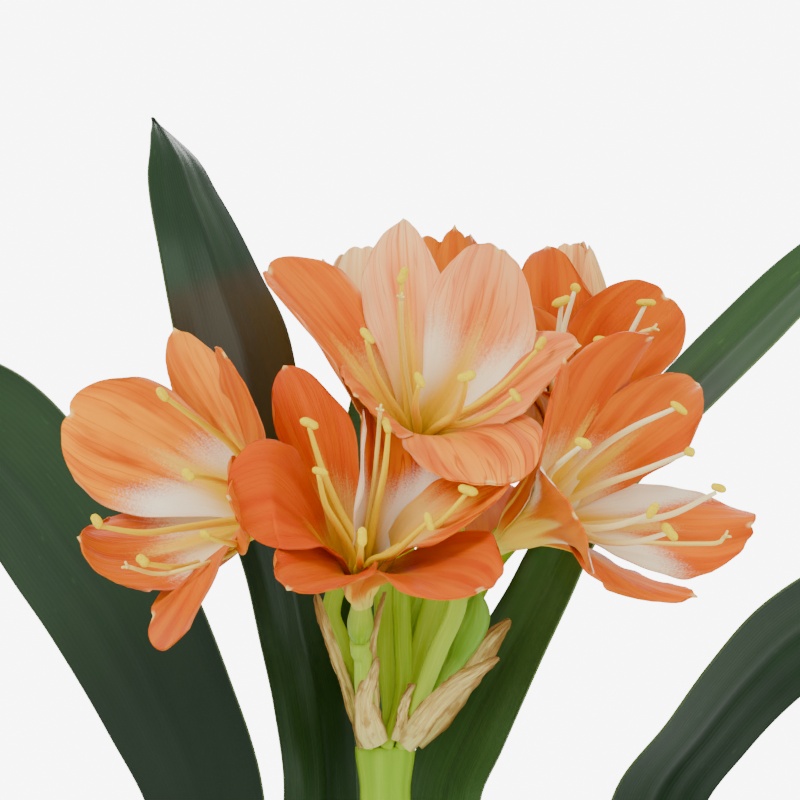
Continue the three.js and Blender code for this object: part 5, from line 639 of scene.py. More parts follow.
def stem(name, low, high, streak_c, rough=0.38, stripes=5.0, spec=0.35, tint=(.9, 1.0, .6)):
    g = G(name); u, v = g.uv(); tp, tr, tb, tn = g.tc()
    fibre = g.noise(g.vec(g.add(g.mul(u, 3.0), g.mul(tn, 7.0)), g.mul(v, 26.0), tn), 1.0, 3.0, 0.55)
    blot = g.noise(g.vec(g.mul(u, 9.0), g.mul(v, 3.0), g.mul(tn, 5.0)), 1.0, 3.0, 0.6)
    pore = g.noise(g.vec(g.mul(u, 160.0), g.mul(v, 40.0), tn), 1.0, 2.0, 0.6)
    col = g.mix(g.step(g.add(u, g.mul(g.sub(blot, 0.5), 0.3)), 0.05, 0.95), low, high)
    col = g.mix(g.mul(g.step(fibre, 0.45, 0.72), 0.50), col, streak_c)
    st = g.m("POWER", g.m("ABSOLUTE", g.m("COSINE", g.mul(v, 3.14159 * stripes))), 4.0)
    col = g.mix(g.mul(st, 0.25), col, tuple(c * 0.66 for c in low))
    col = g.mix(g.mul(tp, 0.8), col, streak_c)
    h = g.add(g.add(fibre, g.mul(st, 0.3)), g.mul(pore, 0.15))
    return g.put(color=col, rough=rough, normal=g.bump(h, 0.0004, 0.4), sss=0.15, sss_scale=0.003, sss_radius=(0.7, 1.0, 0.15), spec=spec, tint=tint)

M_IN = {}; M_OUT = {}
SPEC = {  # inner face: deep, mid, pale, yellow, white, settings; outer face: deep, mid
    "flower_front":            ((.53, .052, 0), (.65, .104, 0), (.86, .34, .08), (.70, .40, 0), (.94, .86, .66), dict(b0=.38, bmid=.16, feather=.14, edge=.04), (.52, .088, 0), (.64, .17, .004)),
    "flower_left":             ((.57, .088, 0), (.84, .235, 0), (.95, .42, .05), (.82, .56, 0), (.96, .90, .70), dict(b0=.36, bmid=.16, feather=.14, edge=.15), (.58, .105, 0), (.70, .20, .006)),
    "flower_upper":            ((.60, .088, 0), (.76, .170, 0), (.98, .42, .15), (.82, .52, 0), (.96, .88, .66), dict(b0=.40, bmid=.16, feather=.16, edge=.32), (.66, .14, .002), (.80, .28, .03)),
    "flower_right":            ((.56, .075, 0), (.70, .142, 0), (.88, .38, .10), (.74, .43, 0), (.94, .86, .66), dict(b0=.40, bmid=.18, feather=.13, edge=.08), (.60, .092, 0), (.72, .175, 0)),
    "flower_upper_right":      ((.46, .052, 0), (.57, .100, 0), (.82, .32, .08), (.70, .36, 0), (.92, .82, .60), dict(b0=.30, bmid=.12, edge=.06), (.52, .075, 0), (.62, .15, .004)),
    "flower_back_upper":       ((.48, .058, 0), (.60, .112, 0), (.88, .40, .11), (.80, .45, 0), (.94, .86, .68), dict(b0=.34, bmid=.14, edge=.10), (.52, .080, 0), (.62, .155, .002)),
    "flower_back_upper_left":  ((.74, .20, .006), (.90, .36, .05), (.96, .54, .22), (.86, .54, 0), (.95, .88, .74), dict(b0=.36, bmid=.14, edge=.30), (.74, .22, .01), (.88, .42, .09)),
    "flower_back_left":        ((.52, .072, 0), (.64, .135, 0), (.88, .40, .11), (.80, .45, 0), (.94, .86, .68), dict(b0=.34, bmid=.16, edge=.10), (.58, .100, 0), (.68, .20, .005)),
    "flower_back":             ((.50, .070, 0), (.62, .125, 0), (.90, .42, .12), (.82, .47, 0), (.94, .86, .70), dict(b0=.35, bmid=.16, edge=.12), (.50, .072, 0), (.60, .125, 0)),
    "flower_bud_tall":         ((.66, .13, .010), (.84, .30, .06), (.94, .50, .20), (.72, .60, .03), (.9, .84, .6), dict(b0=.16, bmid=.10, edge=.22), (.70, .19, .02), (.88, .42, .12)),
}
OUTER = {"flower_right": dict(b0=-.10, bmid=.42, feather=.12, c0=-.12, c1=-.27), "flower_front": dict(b0=.04, bmid=.24, feather=.14)}
for k, (d, m, p, y, w, kw, od, om) in SPEC.items():
    M_IN[k] = petal(k + "_face", d, m, p, y, w, **kw)
    M_OUT[k] = petal(k + "_back", od, om, p, (.86, .58, .04), (.93, .84, .56), **{**dict(b0=.08, bmid=.26, feather=.15, rough=.46, edge=kw.get("edge", .25)), **OUTER.get(k, {})})
# low: colour of the painted light and reflection on the lower blade
M_LEAF = leafy("leaf_blade", (.004, .015, .005), (.009, .029, .008), (.026, .075, .018), (.12, .20, .05), low=(.017, .046, .009))
M_LEAF4 = leafy("leaf_blade_wide", (.006, .021, .006), (.013, .038, .010), (.030, .085, .020), (.12, .20, .05), shaded_foot=(.80, .60, .90))
M_LEAF2 = leafy("leaf_blade_lower", (.011, .042, .006), (.024, .074, .010), (.06, .15, .02), (.16, .28, .06))
M_LEAF5 = leafy("leaf_blade_right", (.011, .042, .006), (.024, .074, .010), (.06, .15, .02), (.16, .28, .06), shaded_foot=(.40, .20, .45), low=(.052, .112, .030))
M_LEAF3 = leafy("leaf_blade_arching", (.003, .013, .004), (.008, .026, .007), (.020, .060, .014), (.10, .18, .04), rough=0.36, spec=0.15)
M_PED = stem("pedicel_skin", (.30, .48, .012), (.25, .44, .008), (.56, .72, .08), spec=0.2)
M_SCAPE = stem("scape_skin", (.15, .34, .008), (.22, .42, .010), (.32, .50, .03), stripes=9.0, spec=0.2)
M_OVARY = stem("ovary_skin", (.16, .34, .002), (.34, .44, .01), (.40, .54, .05), rough=0.26, stripes=3.0)
M_BUD = stem("bud_skin", (.20, .42, .02), (.17, .38, .02), (.36, .54, .10), stripes=6.0)
M_STYLE = stem("style_skin", (.80, .54, .01), (.86, .68, .12), (.90, .78, .30), rough=0.45, stripes=2.0, tint=(1, .9, .6))
M_FIL = {}
for k, a, c in (("yellow", (.78, .48, 0), (.88, .66, 0)), ("cream", (.90, .58, .01), (.96, .88, .46))):
    M_FIL[k] = stem("filament_" + k, a, c, tuple(min(.95, x * 1.10 + (.02 if x > .05 else 0)) for x in c), rough=0.42, stripes=2.0, tint=(1, .9, .6))

def anther_mat():
    g = G("anther_pollen"); o = g.obj()
    n = g.noise(o, 2600.0, 3.0, 0.7); big = g.noise(o, 500.0, 2.0, 0.5)
    col = g.mix(g.step(n, 0.35, 0.7), (.72, .48, 0), (.82, .68, 0)); col = g.mix(g.mul(g.step(big, 0.5, 0.75), 0.4), col, (.88, .80, .0))
    return g.put(color=col, rough=0.85, normal=g.bump(n, 0.0003, 0.7), sss=0.1, sss_scale=0.001, sss_radius=(1, 0.8, 0.05), spec=0.15, tint=(1, .85, .3))
M_ANTH = anther_mat()

def bract_mat():
    g = G("bract_papery"); u, v = g.uv(); tp, tr, tb, tn = g.tc()
    fibre = g.noise(g.vec(g.add(g.mul(u, 3.0), g.mul(tn, 7.0)), g.mul(v, 34.0), tn), 1.0, 4.0, 0.6)
    blot = g.noise(g.vec(g.mul(u, 6.0), g.mul(v, 3.0), g.mul(tn, 11.0)), 1.0, 4.0, 0.6)
    av = g.m("ABSOLUTE", g.sub(g.mul(v, 2.0), 1.0))
    col = g.mix(g.step(fibre, 0.3, 0.7), (.62, .42, .07), (.96, .84, .32))
    col = g.mix(g.mul(g.step(g.add(u, g.mul(g.sub(blot, 0.5), 0.5)), 0.32, 0.0), 0.65), col, (.60, .62, .18))
    col = g.mix(g.mul(g.step(g.add(g.add(u, g.mul(av, .22)), g.mul(g.sub(blot, 0.5), 0.9)), 0.72, 1.12), 0.80), col, (.30, .13, .035))
    col = g.mix(g.mul(g.step(blot, 0.50, 0.66), 0.75), col, (.44, .25, .055))
    thin = g.step(fibre, 0.60, 0.74)
    col = g.mix(g.mul(thin, 0.55), col, (.38, .20, .06))
    col = g.mix(g.mul(g.step(g.add(av, g.mul(g.sub(fibre, 0.5), 0.6)), 0.74, 0.96), 0.75), col, (.26, .11, .025))
    return g.put(color=col, rough=0.68, normal=g.bump(g.add(fibre, g.mul(blot, 0.5)), 0.0007, 0.8), sss=0.25, sss_scale=0.001, sss_radius=(1, 0.8, 0.35), spec=0.20, tint=(1, .92, .7))
M_BRACT = bract_mat()

def clay_mat():
    g = G("terracotta"); o = g.obj(); z = g.node("ShaderNodeSeparateXYZ", [o]).outputs[2]
    n = g.noise(o, 28.0, 5.0, 0.6); fine_n = g.noise(o, 900.0, 3.0, 0.7); ring = g.noise(g.vec(0.0, 0.0, g.mul(z, 420.0)), 1.0, 2.0, 0.5); bloom = g.noise(o, 16.0, 6.0, 0.65)
    col = g.mix(g.step(n, 0.3, 0.7), (.33, .080, .028), (.46, .140, .055))
    col = g.mix(g.mul(g.step(fine_n, 0.55, 0.8), 0.35), col, (.58, .23, .11))
    edge = g.add(g.step(z, 0.125, 0.165), g.step(z, 0.05, 0.0))
    col = g.mix(g.mul(g.m("MULTIPLY", g.step(bloom, 0.50, 0.76), edge), 0.35), col, (.66, .44, .32))
    h = g.add(g.add(g.mul(fine_n, 0.4), g.mul(ring, 0.5)), g.mul(n, 0.3))
    return g.put(color=col, rough=0.86, normal=g.bump(h, 0.0006, 0.5), spec=0.20)
M_CLAY = clay_mat()

def soil_mat():
    g = G("potting_soil"); o = g.obj()
    n = g.noise(o, 220.0, 6.0, 0.7); n2 = g.noise(o, 60.0, 4.0, 0.6)
    col = g.mix(g.step(n, 0.3, 0.7), (.012, .007, .004), (.062, .034, .017)); col = g.mix(g.mul(g.step(n2, 0.55, 0.75), 0.5), col, (.12, .072, .036))
    return g.put(color=col, rough=0.95, normal=g.bump(n, 0.002, 0.8), spec=0.2)
M_SOIL = soil_mat()
def perlite_mat():
    g = G("perlite_bits"); n = g.noise(g.obj(), 900.0, 3.0, 0.6)
    return g.put(color=g.mix(n, (.60, .56, .48), (.86, .84, .78)), rough=0.9, normal=g.bump(n, 0.0005, 0.6))
M_PERL = perlite_mat()


# ------------------------------------------------------------------ flowers
KIND = {"i": (4.2, [.30, .52, .84, 1.0, .98, .80], (.19, 2.3)), "o": (5.8, [.34, .56, .86, 1.0, .92, .64], (.26, 1.9))}
PROF_AT = [0, .25, .5, .7, .86, 1.0]
CLAW = 12        # rows of the tepal's stalk, which with its five neighbours makes the tube

def grain(rng, n, lo, hi):
    """Seeded smooth noise of two variables."""
    q = [(rng.uniform(lo, hi) * rng.choice([-1, 1]), rng.uniform(lo, hi) * rng.choice([-1, 1]), rng.uniform(0, 6.28)) for _ in range(n)]
    return lambda x, y: sum(np.sin(a * x + b * y + c) for a, b, c in q) / math.sqrt(n)

def facing(P):
    return unit(np.cross(np.gradient(P, axis=0), np.gradient(P, axis=1)))

def tepal(b, t, F, rng, nu=54, nv=28, ruffle=0.5, opt={}):
    kind, e, x, tid = t[0], unit(t[1]), list(t[2]), t[3]; O, A, neck, d0, H = F
    root, prof, (tau, p) = KIND[kind]; prof = opt.get("prof", prof); root = opt.get("root", root); x[12] = opt.get("k0", x[12]); x[0] += opt.get("dL", 0); NS = 81
    s = np.cross(A, e); ls = np.linspace(0, 1.06, NS)
    th = bern(x[1:5], ls); th = th + sum(a * smooth(l0 - w, l0 + w, ls) for l0, w, a in opt.get("fold", []))
    th = np.radians(th)[:, None]; ps = np.radians(bern(x[5:8], ls))[:, None]; ro = np.radians(bern([0] + x[8:11], ls))[:, None]
    T = np.cos(ps) * (np.cos(th) * A + np.sin(th) * e) + np.sin(ps) * s
    M = np.zeros((NS, 3)); M[1:] = np.cumsum((T[1:] + T[:-1]) * 0.5 * ls[1] * x[0], axis=0); M = M + O + root * e
    S = unit(s - np.sum(T * s, 1, keepdims=True) * T); N = np.cross(T, S); S, N = S * np.cos(ro) + N * np.sin(ro), N * np.cos(ro) - S * np.sin(ro)
    us = 1 - (1 - np.linspace(0, 1, nu + 1)) ** 1.25; vl = np.linspace(-1, 1, nv + 1); vl = np.sign(vl) * (1 - (1 - np.abs(vl)) ** 1.35)
    u, v = np.meshgrid(us, vl, indexing="ij"); av = np.abs(v)
    horn = (-0.022 * np.exp(-(v / .10) ** 2) if kind == "i" else 0.026 * np.exp(-(v / .075) ** 2)) * smooth(.90, 1.0, u)
    nick = sum(rng.uniform(-.012, .012) * np.exp(-((v - c) / .13) ** 2) for c in (-.75, -.4, .4, .75)) * smooth(.85, 1, u)
    l = u * (1 - tau * av ** p) * (1 + horn + nick)
    it = lambda Q: np.stack([np.interp(l, ls, Q[:, k]) for k in range(3)], -1)
    Mi, Si, Ni = it(M), it(S), it(N)
    hw = x[11] / 2 * herm(PROF_AT, prof, u) * np.where(v < 0, 1 + bern([0] + x[15:18], u), 1 + bern([0] + x[18:21], u))
    for sg, am, at, wd in opt.get("flare", []): hw = hw * (1 + am * np.exp(-((u - at) / wd) ** 2) * (v * sg > 0))
    k = bern(x[12:15], l); k = np.where(np.abs(k) < 1e-3, 1e-3, k)
    P = Mi + Si * (hw * np.sin(k * v) / k)[..., None] + Ni * (hw * (1 - np.cos(k * v)) / k)[..., None]
    # stalk of the tepal, down to the neck
    tt = np.linspace(0, 1, CLAW + 1)[:-1, None]; t2, t3 = tt ** 2, tt ** 3
    c = (2*t3 - 3*t2 + 1) * neck + (t3 - 2*t2 + tt) * d0 * H + (-2*t3 + 3*t2) * O + (t3 - t2) * A * H
    dc = unit((6*t2 - 6*tt) * neck + (3*t2 - 4*tt + 1) * d0 * H + (-6*t2 + 6*tt) * O + (3*t2 - 2*tt) * A * H)
    ee = unit(e - np.sum(dc * e, 1, keepdims=True) * dc); ss = np.cross(dc, ee)
    r0 = 2.35 if kind == "i" else 2.75; r = r0 + (root - r0) * (0.25 * tt + 0.75 * t2); ph = 0.64 * vl[None]
    tube_p = c[:, None] + r[:, None] * (np.cos(ph)[..., None] * ee[:, None] + np.sin(ph)[..., None] * ss[:, None])
    w = smooth(.30, 1.0, tt)[:, :, None]
    G = np.concatenate([(1 - w) * tube_p + w * (P[:1] + (c - O)[:, None]), P])
    for _ in range(10):
        a, z = CLAW - 7, CLAW + 8; G[a:z] = 0.25 * G[a - 1:z - 1] + 0.5 * G[a:z] + 0.25 * G[a + 1:z + 1]
    uc = np.linspace(-0.26, 0, CLAW + 1)[:-1]; u = np.concatenate([np.broadcast_to(uc[:, None], (CLAW, nv + 1)), u]); v = np.broadcast_to(vl[None], u.shape); av = np.abs(v)
    f1, f2, p1, p2, p3 = rng.uniform(1.6, 2.6), rng.uniform(3.2, 4.6), rng.uniform(0, 6.28), rng.uniform(0, 6.28), rng.uniform(0, 6.28)
    grow = smooth(.22, .6, u); wrinkle = grain(rng, 9, 2.0, 9.0)
    w = ruffle * av ** 2.4 * grow * (np.sin(2 * np.pi * f1 * u + p1 + 1.7 * np.sign(v)) + 0.45 * np.sin(2 * np.pi * f2 * u + p2 * np.sign(v)))
    w += 0.13 * wrinkle(1.3 * u, 2.2 * v) * grow
    w += opt.get("pleat", 0.07) * np.cos(2 * np.pi * 2.6 * (v + 0.05 * np.sin(5 * u + p1)) + p3) * grow * (1 - av ** 4)
    w += 0.16 * np.sin(2 * np.pi * 1.3 * u + p2) * np.cos(np.pi * v * 1.5 + p1) * grow
    w -= (0.50 if kind == "i" else 0.62) * np.exp(-(v / .085) ** 2) * smooth(-.05, .12, u) * (1 - 0.6 * smooth(.8, 1, u))
    half = 0.5 * (0.95 * (1 - 0.72 * av ** 1.6) * (1 - 0.38 * np.maximum(u, 0)) + 0.08)
    Nn = facing(G); Q = G + Nn * w[..., None]
    tone = TONE.get(tid) or TONE["other_" + kind]
    b.blade(Q + Nn * half[..., None], Q - Nn * half[..., None], u, (v + 1) / 2, 0, 1, (tone[0], tone[1], tone[2], rng.uniform()), (tone[3], tone[4], tone[5], tone[6]))

# tone of each tepal: paleness, redness, band shift (0.5 none), light on the two margins, whiteness of the light part, veins
TONE = {
    "C1": (0, .5, .48, 0, 0, .15, .15), "C2": (0, .7, .36, 0, 0, .1, .1), "C3": (0, .4, .30, 0, 0, .2, .1), "C4": (0, .4, .28, 0, 0, .1, .2), "C5": (0, 0, .76, 0, 0, .15, .8), "C6": (0, .05, .68, .40, 1.0, .95, 1.0),
    "L1": (.0, .10, .50, .0, .36, .95, .6), "L2": (.14, .15, .40, 0, 0, .3, .3), "L3": (.0, 1.0, .34, 0, 0, .2, .3), "L4": (0, .9, .58, .1, .2, .6, .2), "L5": (0, .95, .36, 0, 0, .2, .2), "L6": (0, .8, .4, 0, 0, .3, .2),
    "T1": (.0, .6, .46, 0, .25, .25, .3), "T2": (.95, 0, .46, 0, 0, .3, .45), "T3": (.74, 0, .52, .34, .22, .85, .5), "T4": (.30, .35, .40, 0, 0, .3, .5), "T5": (.10, .25, .36, 0, 0, .1, 1.0), "T6": (.05, .5, .50, .25, .10, .5, .3),
    "R1": (0, .7, .44, .45, 0, .3, .2), "R2": (0, .2, .44, 0, 0, .4, .2), "R3": (0, .1, .52, .45, .58, .8, .2), "R4": (0, .3, .38, 0, 0, .2, .2), "R5": (0, .35, .78, .55, .55, .95, .2), "R7": (0, .85, .42, 0, .05, .4, .3),
    "other_i": (.04, .35, .50, .20, .20, .6, .25), "other_o": (.04, .35, .45, .05, .05, .3, .25),
}
for k in "135678": TONE["U" + k] = (0, .45, .36, 0, 0, .3, .2)
for k in "123456": TONE["B1" + k] = (0, .5, .38, 0, 0, .3, .2); TONE["B2" + k] = (.8, 0, .42, 0, 0, .6, .3); TONE["K2" + k] = (.25, .1, .4, 0, 0, .3, .6); TONE["K3" + k] = (0, .6, .32, 0, 0, .2, .2)
OPT = {"C4": dict(flare=[(1, .10, .25, .14)]), "C5": dict(flare=[(-1, .06, .42, .15)]), "C2": dict(fold=[(.78, .035, 50)]), "R5": dict(prof=[.62, .74, .90, 1.0, .98, .80], root=9.0), "R7": dict(prof=[.62, .74, .90, 1.0, .92, .64], root=9.0), "L5": dict(prof=[.30, .44, .58, .80, .98, 1.0]), "T5": dict(pleat=0.22), "T3": dict(pleat=0.12), "T2": dict(pleat=0.10)}
FIL = {"flower_front": "yellow", "flower_left": "yellow", "flower_upper": "yellow"}

def anther(b, a0, a1, rng, mat):
    a0, a1 = np.array(a0, float), np.array(a1, float); d = a1 - a0; L = np.linalg.norm(d)
    side = unit(np.cross(d, rng.normal(size=3)) + np.array([0, 0, 1e-3])); mid = (a0 + a1) / 2 + side * L * rng.uniform(0.02, 0.10)
    C = curve([a0, mid, a1], 18); s = np.linspace(-1, 1, 19); R = 1.18 * np.sqrt(np.clip(1 - np.abs(s) ** 3.2, 0.02, 1)) * (1 + 0.05 * np.sin(5 * s + rng.uniform(0, 6)))
    tube(b, C, R, 20, mat, (rng.uniform(), 0, 0, rng.uniform()), ridges=2, depth=0.15, hint=side)

for fi, f in enumerate(FLOWERS):
    name = f["name"]; O = np.array(f["throat"], float) + np.array(f.get("nudge", (0, 0, 0)), float); A = unit(f["axis"]); neck = np.array(f["neck"], float); base = np.array(f["base"], float)
    rng = np.random.RandomState(100 + fi); closed = f["style"] is None; up = unit(neck - base); hh = np.linalg.norm(neck - base)
    FR = (O, A, neck, up, np.linalg.norm(O - neck) * 1.0)
    b = Build()
    for t in f["tepals"]: tepal(b, t, FR, rng, ruffle=0.15 if closed else 0.5, opt=OPT.get(t[3], {}))
    oval = fine([(0.1, 0.35), (1.9, 0.4), (2.9, 0.16 * hh), (3.55, 0.40 * hh), (3.5, 0.60 * hh), (2.95, 0.82 * hh), (2.62, hh), (2.4, hh + 1.6), (0.1, hh + 1.7)], 44)
    if closed: turned(b, oval, base, neck, 42, 2, (0, 0, 0, 0.4), lobes=3, depth=0.045)
    b.obj(name + "_tepals", [M_IN[name], M_OUT[name], M_OVARY], [name + "_perianth"], "petal_orange")
    if f["stamens"]:
        b = Build()
        for path, ends in f["stamens"]:
            mid = (np.array(ends[0]) + np.array(ends[1])) / 2; C = curve(list(path[:-1]) + [list(np.array(path[-1]) * 0.5 + mid * 0.5)], 30)
            s = np.linspace(0, 1, 31); C = C + np.outer(np.sin(np.pi * s) * rng.uniform(-.4, .4), unit(rng.normal(size=3)))
            tube(b, C, 1.25 * (1 - s) ** 0.8 + 0.58 * s, 12, 0, (0, 0, 0, rng.uniform()))
            anther(b, ends[0], ends[1], rng, 1)
        b.obj(name + "_filaments", [M_FIL[FIL.get(name, "cream")], M_ANTH], [name + "_stamens"], "stamen_yellow")
    if not closed:
        b = Build(); turned(b, oval, base, neck, 42, 0, (0, 0, 0, rng.uniform()), lobes=3, depth=0.045)
        C = curve([list(neck - up * 0.1 * hh)] + f["style"], 44); s = np.linspace(0, 1, 45)
        tube(b, C, 0.80 - 0.25 * s, 10, 1, (0, 0, 0, rng.uniform()))
        T = unit(C[-1] - C[-3]); q = unit(np.cross(T, [0.3, 0.2, 1.0])); r2 = np.cross(T, q)
        for j in range(3):
            d = q * math.cos(2.094 * j + 0.6) + r2 * math.sin(2.094 * j + 0.6)
            tube(b, curve([C[-1] - T * 0.3, C[-1] + T * 0.7 + d * 0.3, C[-1] + T * 1.3 + d * 0.7, C[-1] + T * 1.7 + d * 1.1], 10), np.linspace(0.46, 0.32, 11), 8, 1, (0.4, 0, 0, rng.uniform()))
        b.obj(name + "_ovary_style", [M_OVARY, M_STYLE], [name + "_pistil"], "pistil_pale")
    b = Build(); pts = [list(p) for p in f["pedicel"]]; C = curve(pts, 44); s = np.linspace(0, 1, 45)
    R = f["stem"] + 0.1 + (2.5 - f["stem"]) * smooth(0, .5, s) + 0.25 * smooth(.93, 1, s) + (1.0 if f["pedicel"][-1][1] > 0 else 0.0) * smooth(.1, .4, s)
    tube(b, C, R, 24, 0, (rng.uniform(0, .35), 0, 0, rng.uniform()), ridges=5, depth=0.035)
    b.obj(name + "_stalk", [M_PED], [name + "_pedicel"], "stalk_green")

# green bud, on its own pedicel
b = Build(); C = curve([p for p, r in BUD], 60); rr = np.array([r for p, r in BUD], float)
kn = np.r_[0, np.cumsum(np.linalg.norm(np.diff(np.array([p for p, r in BUD], float), axis=0), axis=1))]; kn /= kn[-1]
tube(b, C, herm(kn, rr, np.linspace(0, 1, 61)), 48, 0, (0, 0, 0, 0.3), ridges=3, depth=0.07)
b.obj("green_bud", [M_BUD], ["bud_green"], "bud_green")

# ------------------------------------------------------------------ leaves and bracts
def stations(rows, n, extra=0.0):
    c = np.array([r[0] for r in rows], float); s = unit(np.array([r[1] for r in rows], float)); w = np.array([r[2] for r in rows], float)
    if extra: c = np.vstack([c[0] - unit(c[1] - c[0]) * extra, c]); s = np.vstack([s[0], s]); w = np.r_[w[0], w]
    for i in range(1, len(s)):
        if s[i] @ s[i - 1] < 0: s[i] = -s[i]
    d = np.r_[0, np.cumsum(np.linalg.norm(np.diff(c, axis=0), axis=1))]; d /= d[-1]; q = np.linspace(0, 1, n + 1) ** 0.94
    C = np.stack([herm(d, c[:, k], q) for k in range(3)], 1); S = np.stack([herm(d, s[:, k], q) for k in range(3)], 1); W = herm(d, w, q)
    T = unit(np.gradient(C, axis=0)); S = unit(S - T * np.sum(S * T, 1, keepdims=True)); return C, T, S, np.cross(T, S), W, q

def strap(b, rows, thick, tc, rng, nu=150, nv=26, hollow=0.10, wave=0.5, extra=0.0):
    C, T, S, N, W, q = stations(rows, nu, extra)
    W = np.maximum(W, 0) * np.clip((1 - q) / 0.012, 0.0, 1) ** 0.5 + 0.05
    vl = np.linspace(-1, 1, nv + 1); vl = np.sign(vl) * (1 - (1 - np.abs(vl)) ** 1.25); u, v = np.meshgrid(q, vl, indexing="ij"); av = np.abs(v)
    f, p1, p2 = rng.uniform(2, 3.5), rng.uniform(0, 6.28), rng.uniform(0, 6.28); rib = grain(rng, 7, 4.0, 16.0)
    w = hollow * W[:, None] * (av ** 1.6 - 0.35) + wave * av ** 2 * np.sin(2 * np.pi * f * u + p1 + 1.2 * np.sign(v)) * smooth(.1, .4, u) + 0.25 * wave * np.sin(2 * np.pi * 5 * u + p2) * v
    w -= 0.45 * np.exp(-(v / .10) ** 2); w += 0.10 * rib(0.5 * u, 1.0 * v) * (1 - av ** 3)
    half = 0.5 * (thick * (1 - 0.70 * av ** 2.2) * (1 - 0.5 * u) + 0.12)
    P = C[:, None] + S[:, None] * (v * W[:, None])[..., None] + N[:, None] * w[..., None]; Nn = facing(P)
    b.blade(P + Nn * half[..., None], P - Nn * half[..., None], u, (v + 1) / 2, 0, 0, tc)

for i, (name, rows) in enumerate(LEAVES):
    rng = np.random.RandomState(300 + i); b = Build()
    # the second tc channel, 1 on leaf_tall, switches on that blade's painted shadow stretch behind the flowers
    strap(b, rows, 2.3, ({"leaf_young_front": 0.30}.get(name, 0.0), 1.0 if name == "leaf_tall" else 0.0, 0, rng.uniform()), rng, extra=6.0)
    b.obj(name + "_blade", [M_LEAF2 if name in ("leaf_young_front", "leaf_outer_left", "leaf_outer_right", "leaf_dark_middle") else M_LEAF5 if name == "leaf_right_behind" else M_LEAF3 if name in ("leaf_low_right", "leaf_rear_right") else M_LEAF4 if name == "leaf_wide_left" else M_LEAF], [name], "leaf_green")

def papery(b, rows, rng, nu=72, nv=22, roll=(0.5, 1.5), twist=0.5):
    """Dry bract: thin, rolled in at the edges, crinkled and torn along the margin."""
    C, T, S, N, W, q = stations(rows, nu); vl = np.linspace(-1, 1, nv + 1); u, v = np.meshgrid(q, vl, indexing="ij"); av = np.abs(v)
    g1, g2, g3 = grain(rng, 8, 3.0, 12.0), grain(rng, 10, 8.0, 26.0), grain(rng, 6, 6.0, 22.0)
    a = twist * rng.choice([-1, 1]) * smooth(.45, 1, q)[:, None] + 0.2 * np.sin(5 * q + rng.uniform(0, 6))[:, None] * q[:, None]; S, N = S * np.cos(a) + N * np.sin(a), N * np.cos(a) - S * np.sin(a)
    Wd = (W * np.clip((1 - q) / 0.03, 0, 1) ** 0.7)[:, None] * (1 + (0.10 * g3(u * 1.0, np.sign(v) * 2.0) + 0.05 * g2(u * 1.5, np.sign(v))) * av ** 2 * smooth(.08, .3, u)) * 1.12 + 0.06
    k = roll[0] + (roll[1] - roll[0]) * smooth(.1, 1, u)
    P = C[:, None] + S[:, None] * (Wd * np.sin(k * v) / k)[..., None] + N[:, None] * (Wd * (1 - np.cos(k * v)) / k - 0.25 * Wd * k * 0.5)[..., None]
    Nn = facing(P); amp = smooth(.03, .25, u); w = amp * (0.34 * g1(u, v * 0.8) + 0.17 * g2(u, v) + 0.45 * av ** 3 * np.sin(30 * u + 4 * g3(u, v * .3)) * 0.6)
    P = P + Nn * w[..., None]; Nn = facing(P); half = 0.16 + 0.12 * (1 - av)
    b.blade(P + Nn * half[..., None], P - Nn * half[..., None], u, (v + 1) / 2, 0, 0, (0, 0, 0, rng.uniform()))
for i, (name, rows) in enumerate(BRACTS):
    rng = np.random.RandomState(400 + i); b = Build()
    papery(b, rows, rng, roll={"bract_front": (0.9, 1.3), "bract_right": (0.6, 1.5)}.get(name, (0.6, 1.4)), twist={"bract_front": 0.55, "bract_right": 0.25}.get(name, 0.5))
    b.obj(name + "_paper", [M_BRACT], [name], "bract_papery")

# ------------------------------------------------------------------ scape
b = Build(); z = np.r_[np.linspace(144, 380, 60), np.linspace(382, 400.2, 16)]; ph = np.linspace(0, 2 * np.pi, 61)
k = 1 + 0.06 * smooth(230, 150, z) + 0.19 * smooth(388, 400, z); rid = 1 + 0.012 * np.cos(14 * ph) + 0.01 * np.cos(5 * ph + 1)
Q = np.stack([7.0 * k[:, None] * rid * np.cos(ph), 5.6 * (k[:, None] + 0.1 * smooth(388, 400, z)[:, None]) * rid * np.sin(ph), np.broadcast_to(z[:, None], (len(z), 61))], -1)
top = np.concatenate([Q[-1:] * [f, f, 1] + [0, 0, dz] for f, dz in ((.96, .35), (.75, .6), (.4, .7), (.0, .7))])
Q = np.concatenate([Q, top]); U, V = np.meshgrid(np.linspace(0, 1, len(Q)), ph / (2 * np.pi), indexing="ij")
b.grid(Q, U, V, 0, True, (0, 0, 0, .4)); b.obj("scape_stalk", [M_SCAPE], ["scape"], "stalk_green")

# ------------------------------------------------------------------ pot
b = Build()
pot = [(0.01, 0), (30, 0), (55, 0), (57.6, .5), (58.6, 2.2), (60, 12), (68, 70), (75.9, 127), (76.4, 128.6), (78.5, 129.2), (85.2, 129.6), (87.4, 131), (88.0, 133.5), (88.9, 155), (89.0, 160), (88.2, 163.6), (86, 165), (83.4, 165), (81.6, 164), (80.6, 161), (79.6, 154), (78.5, 145), (71, 126), (62.5, 70), (54.2, 14), (51.5, 9.5), (47, 8), (20, 8), (0.01, 8)]
turned(b, pot, (0, 0, 0), (0, 0, 1), 128, 0)
pot_o = b.obj("pot_clay", [M_CLAY], ["pot"], "terracotta")
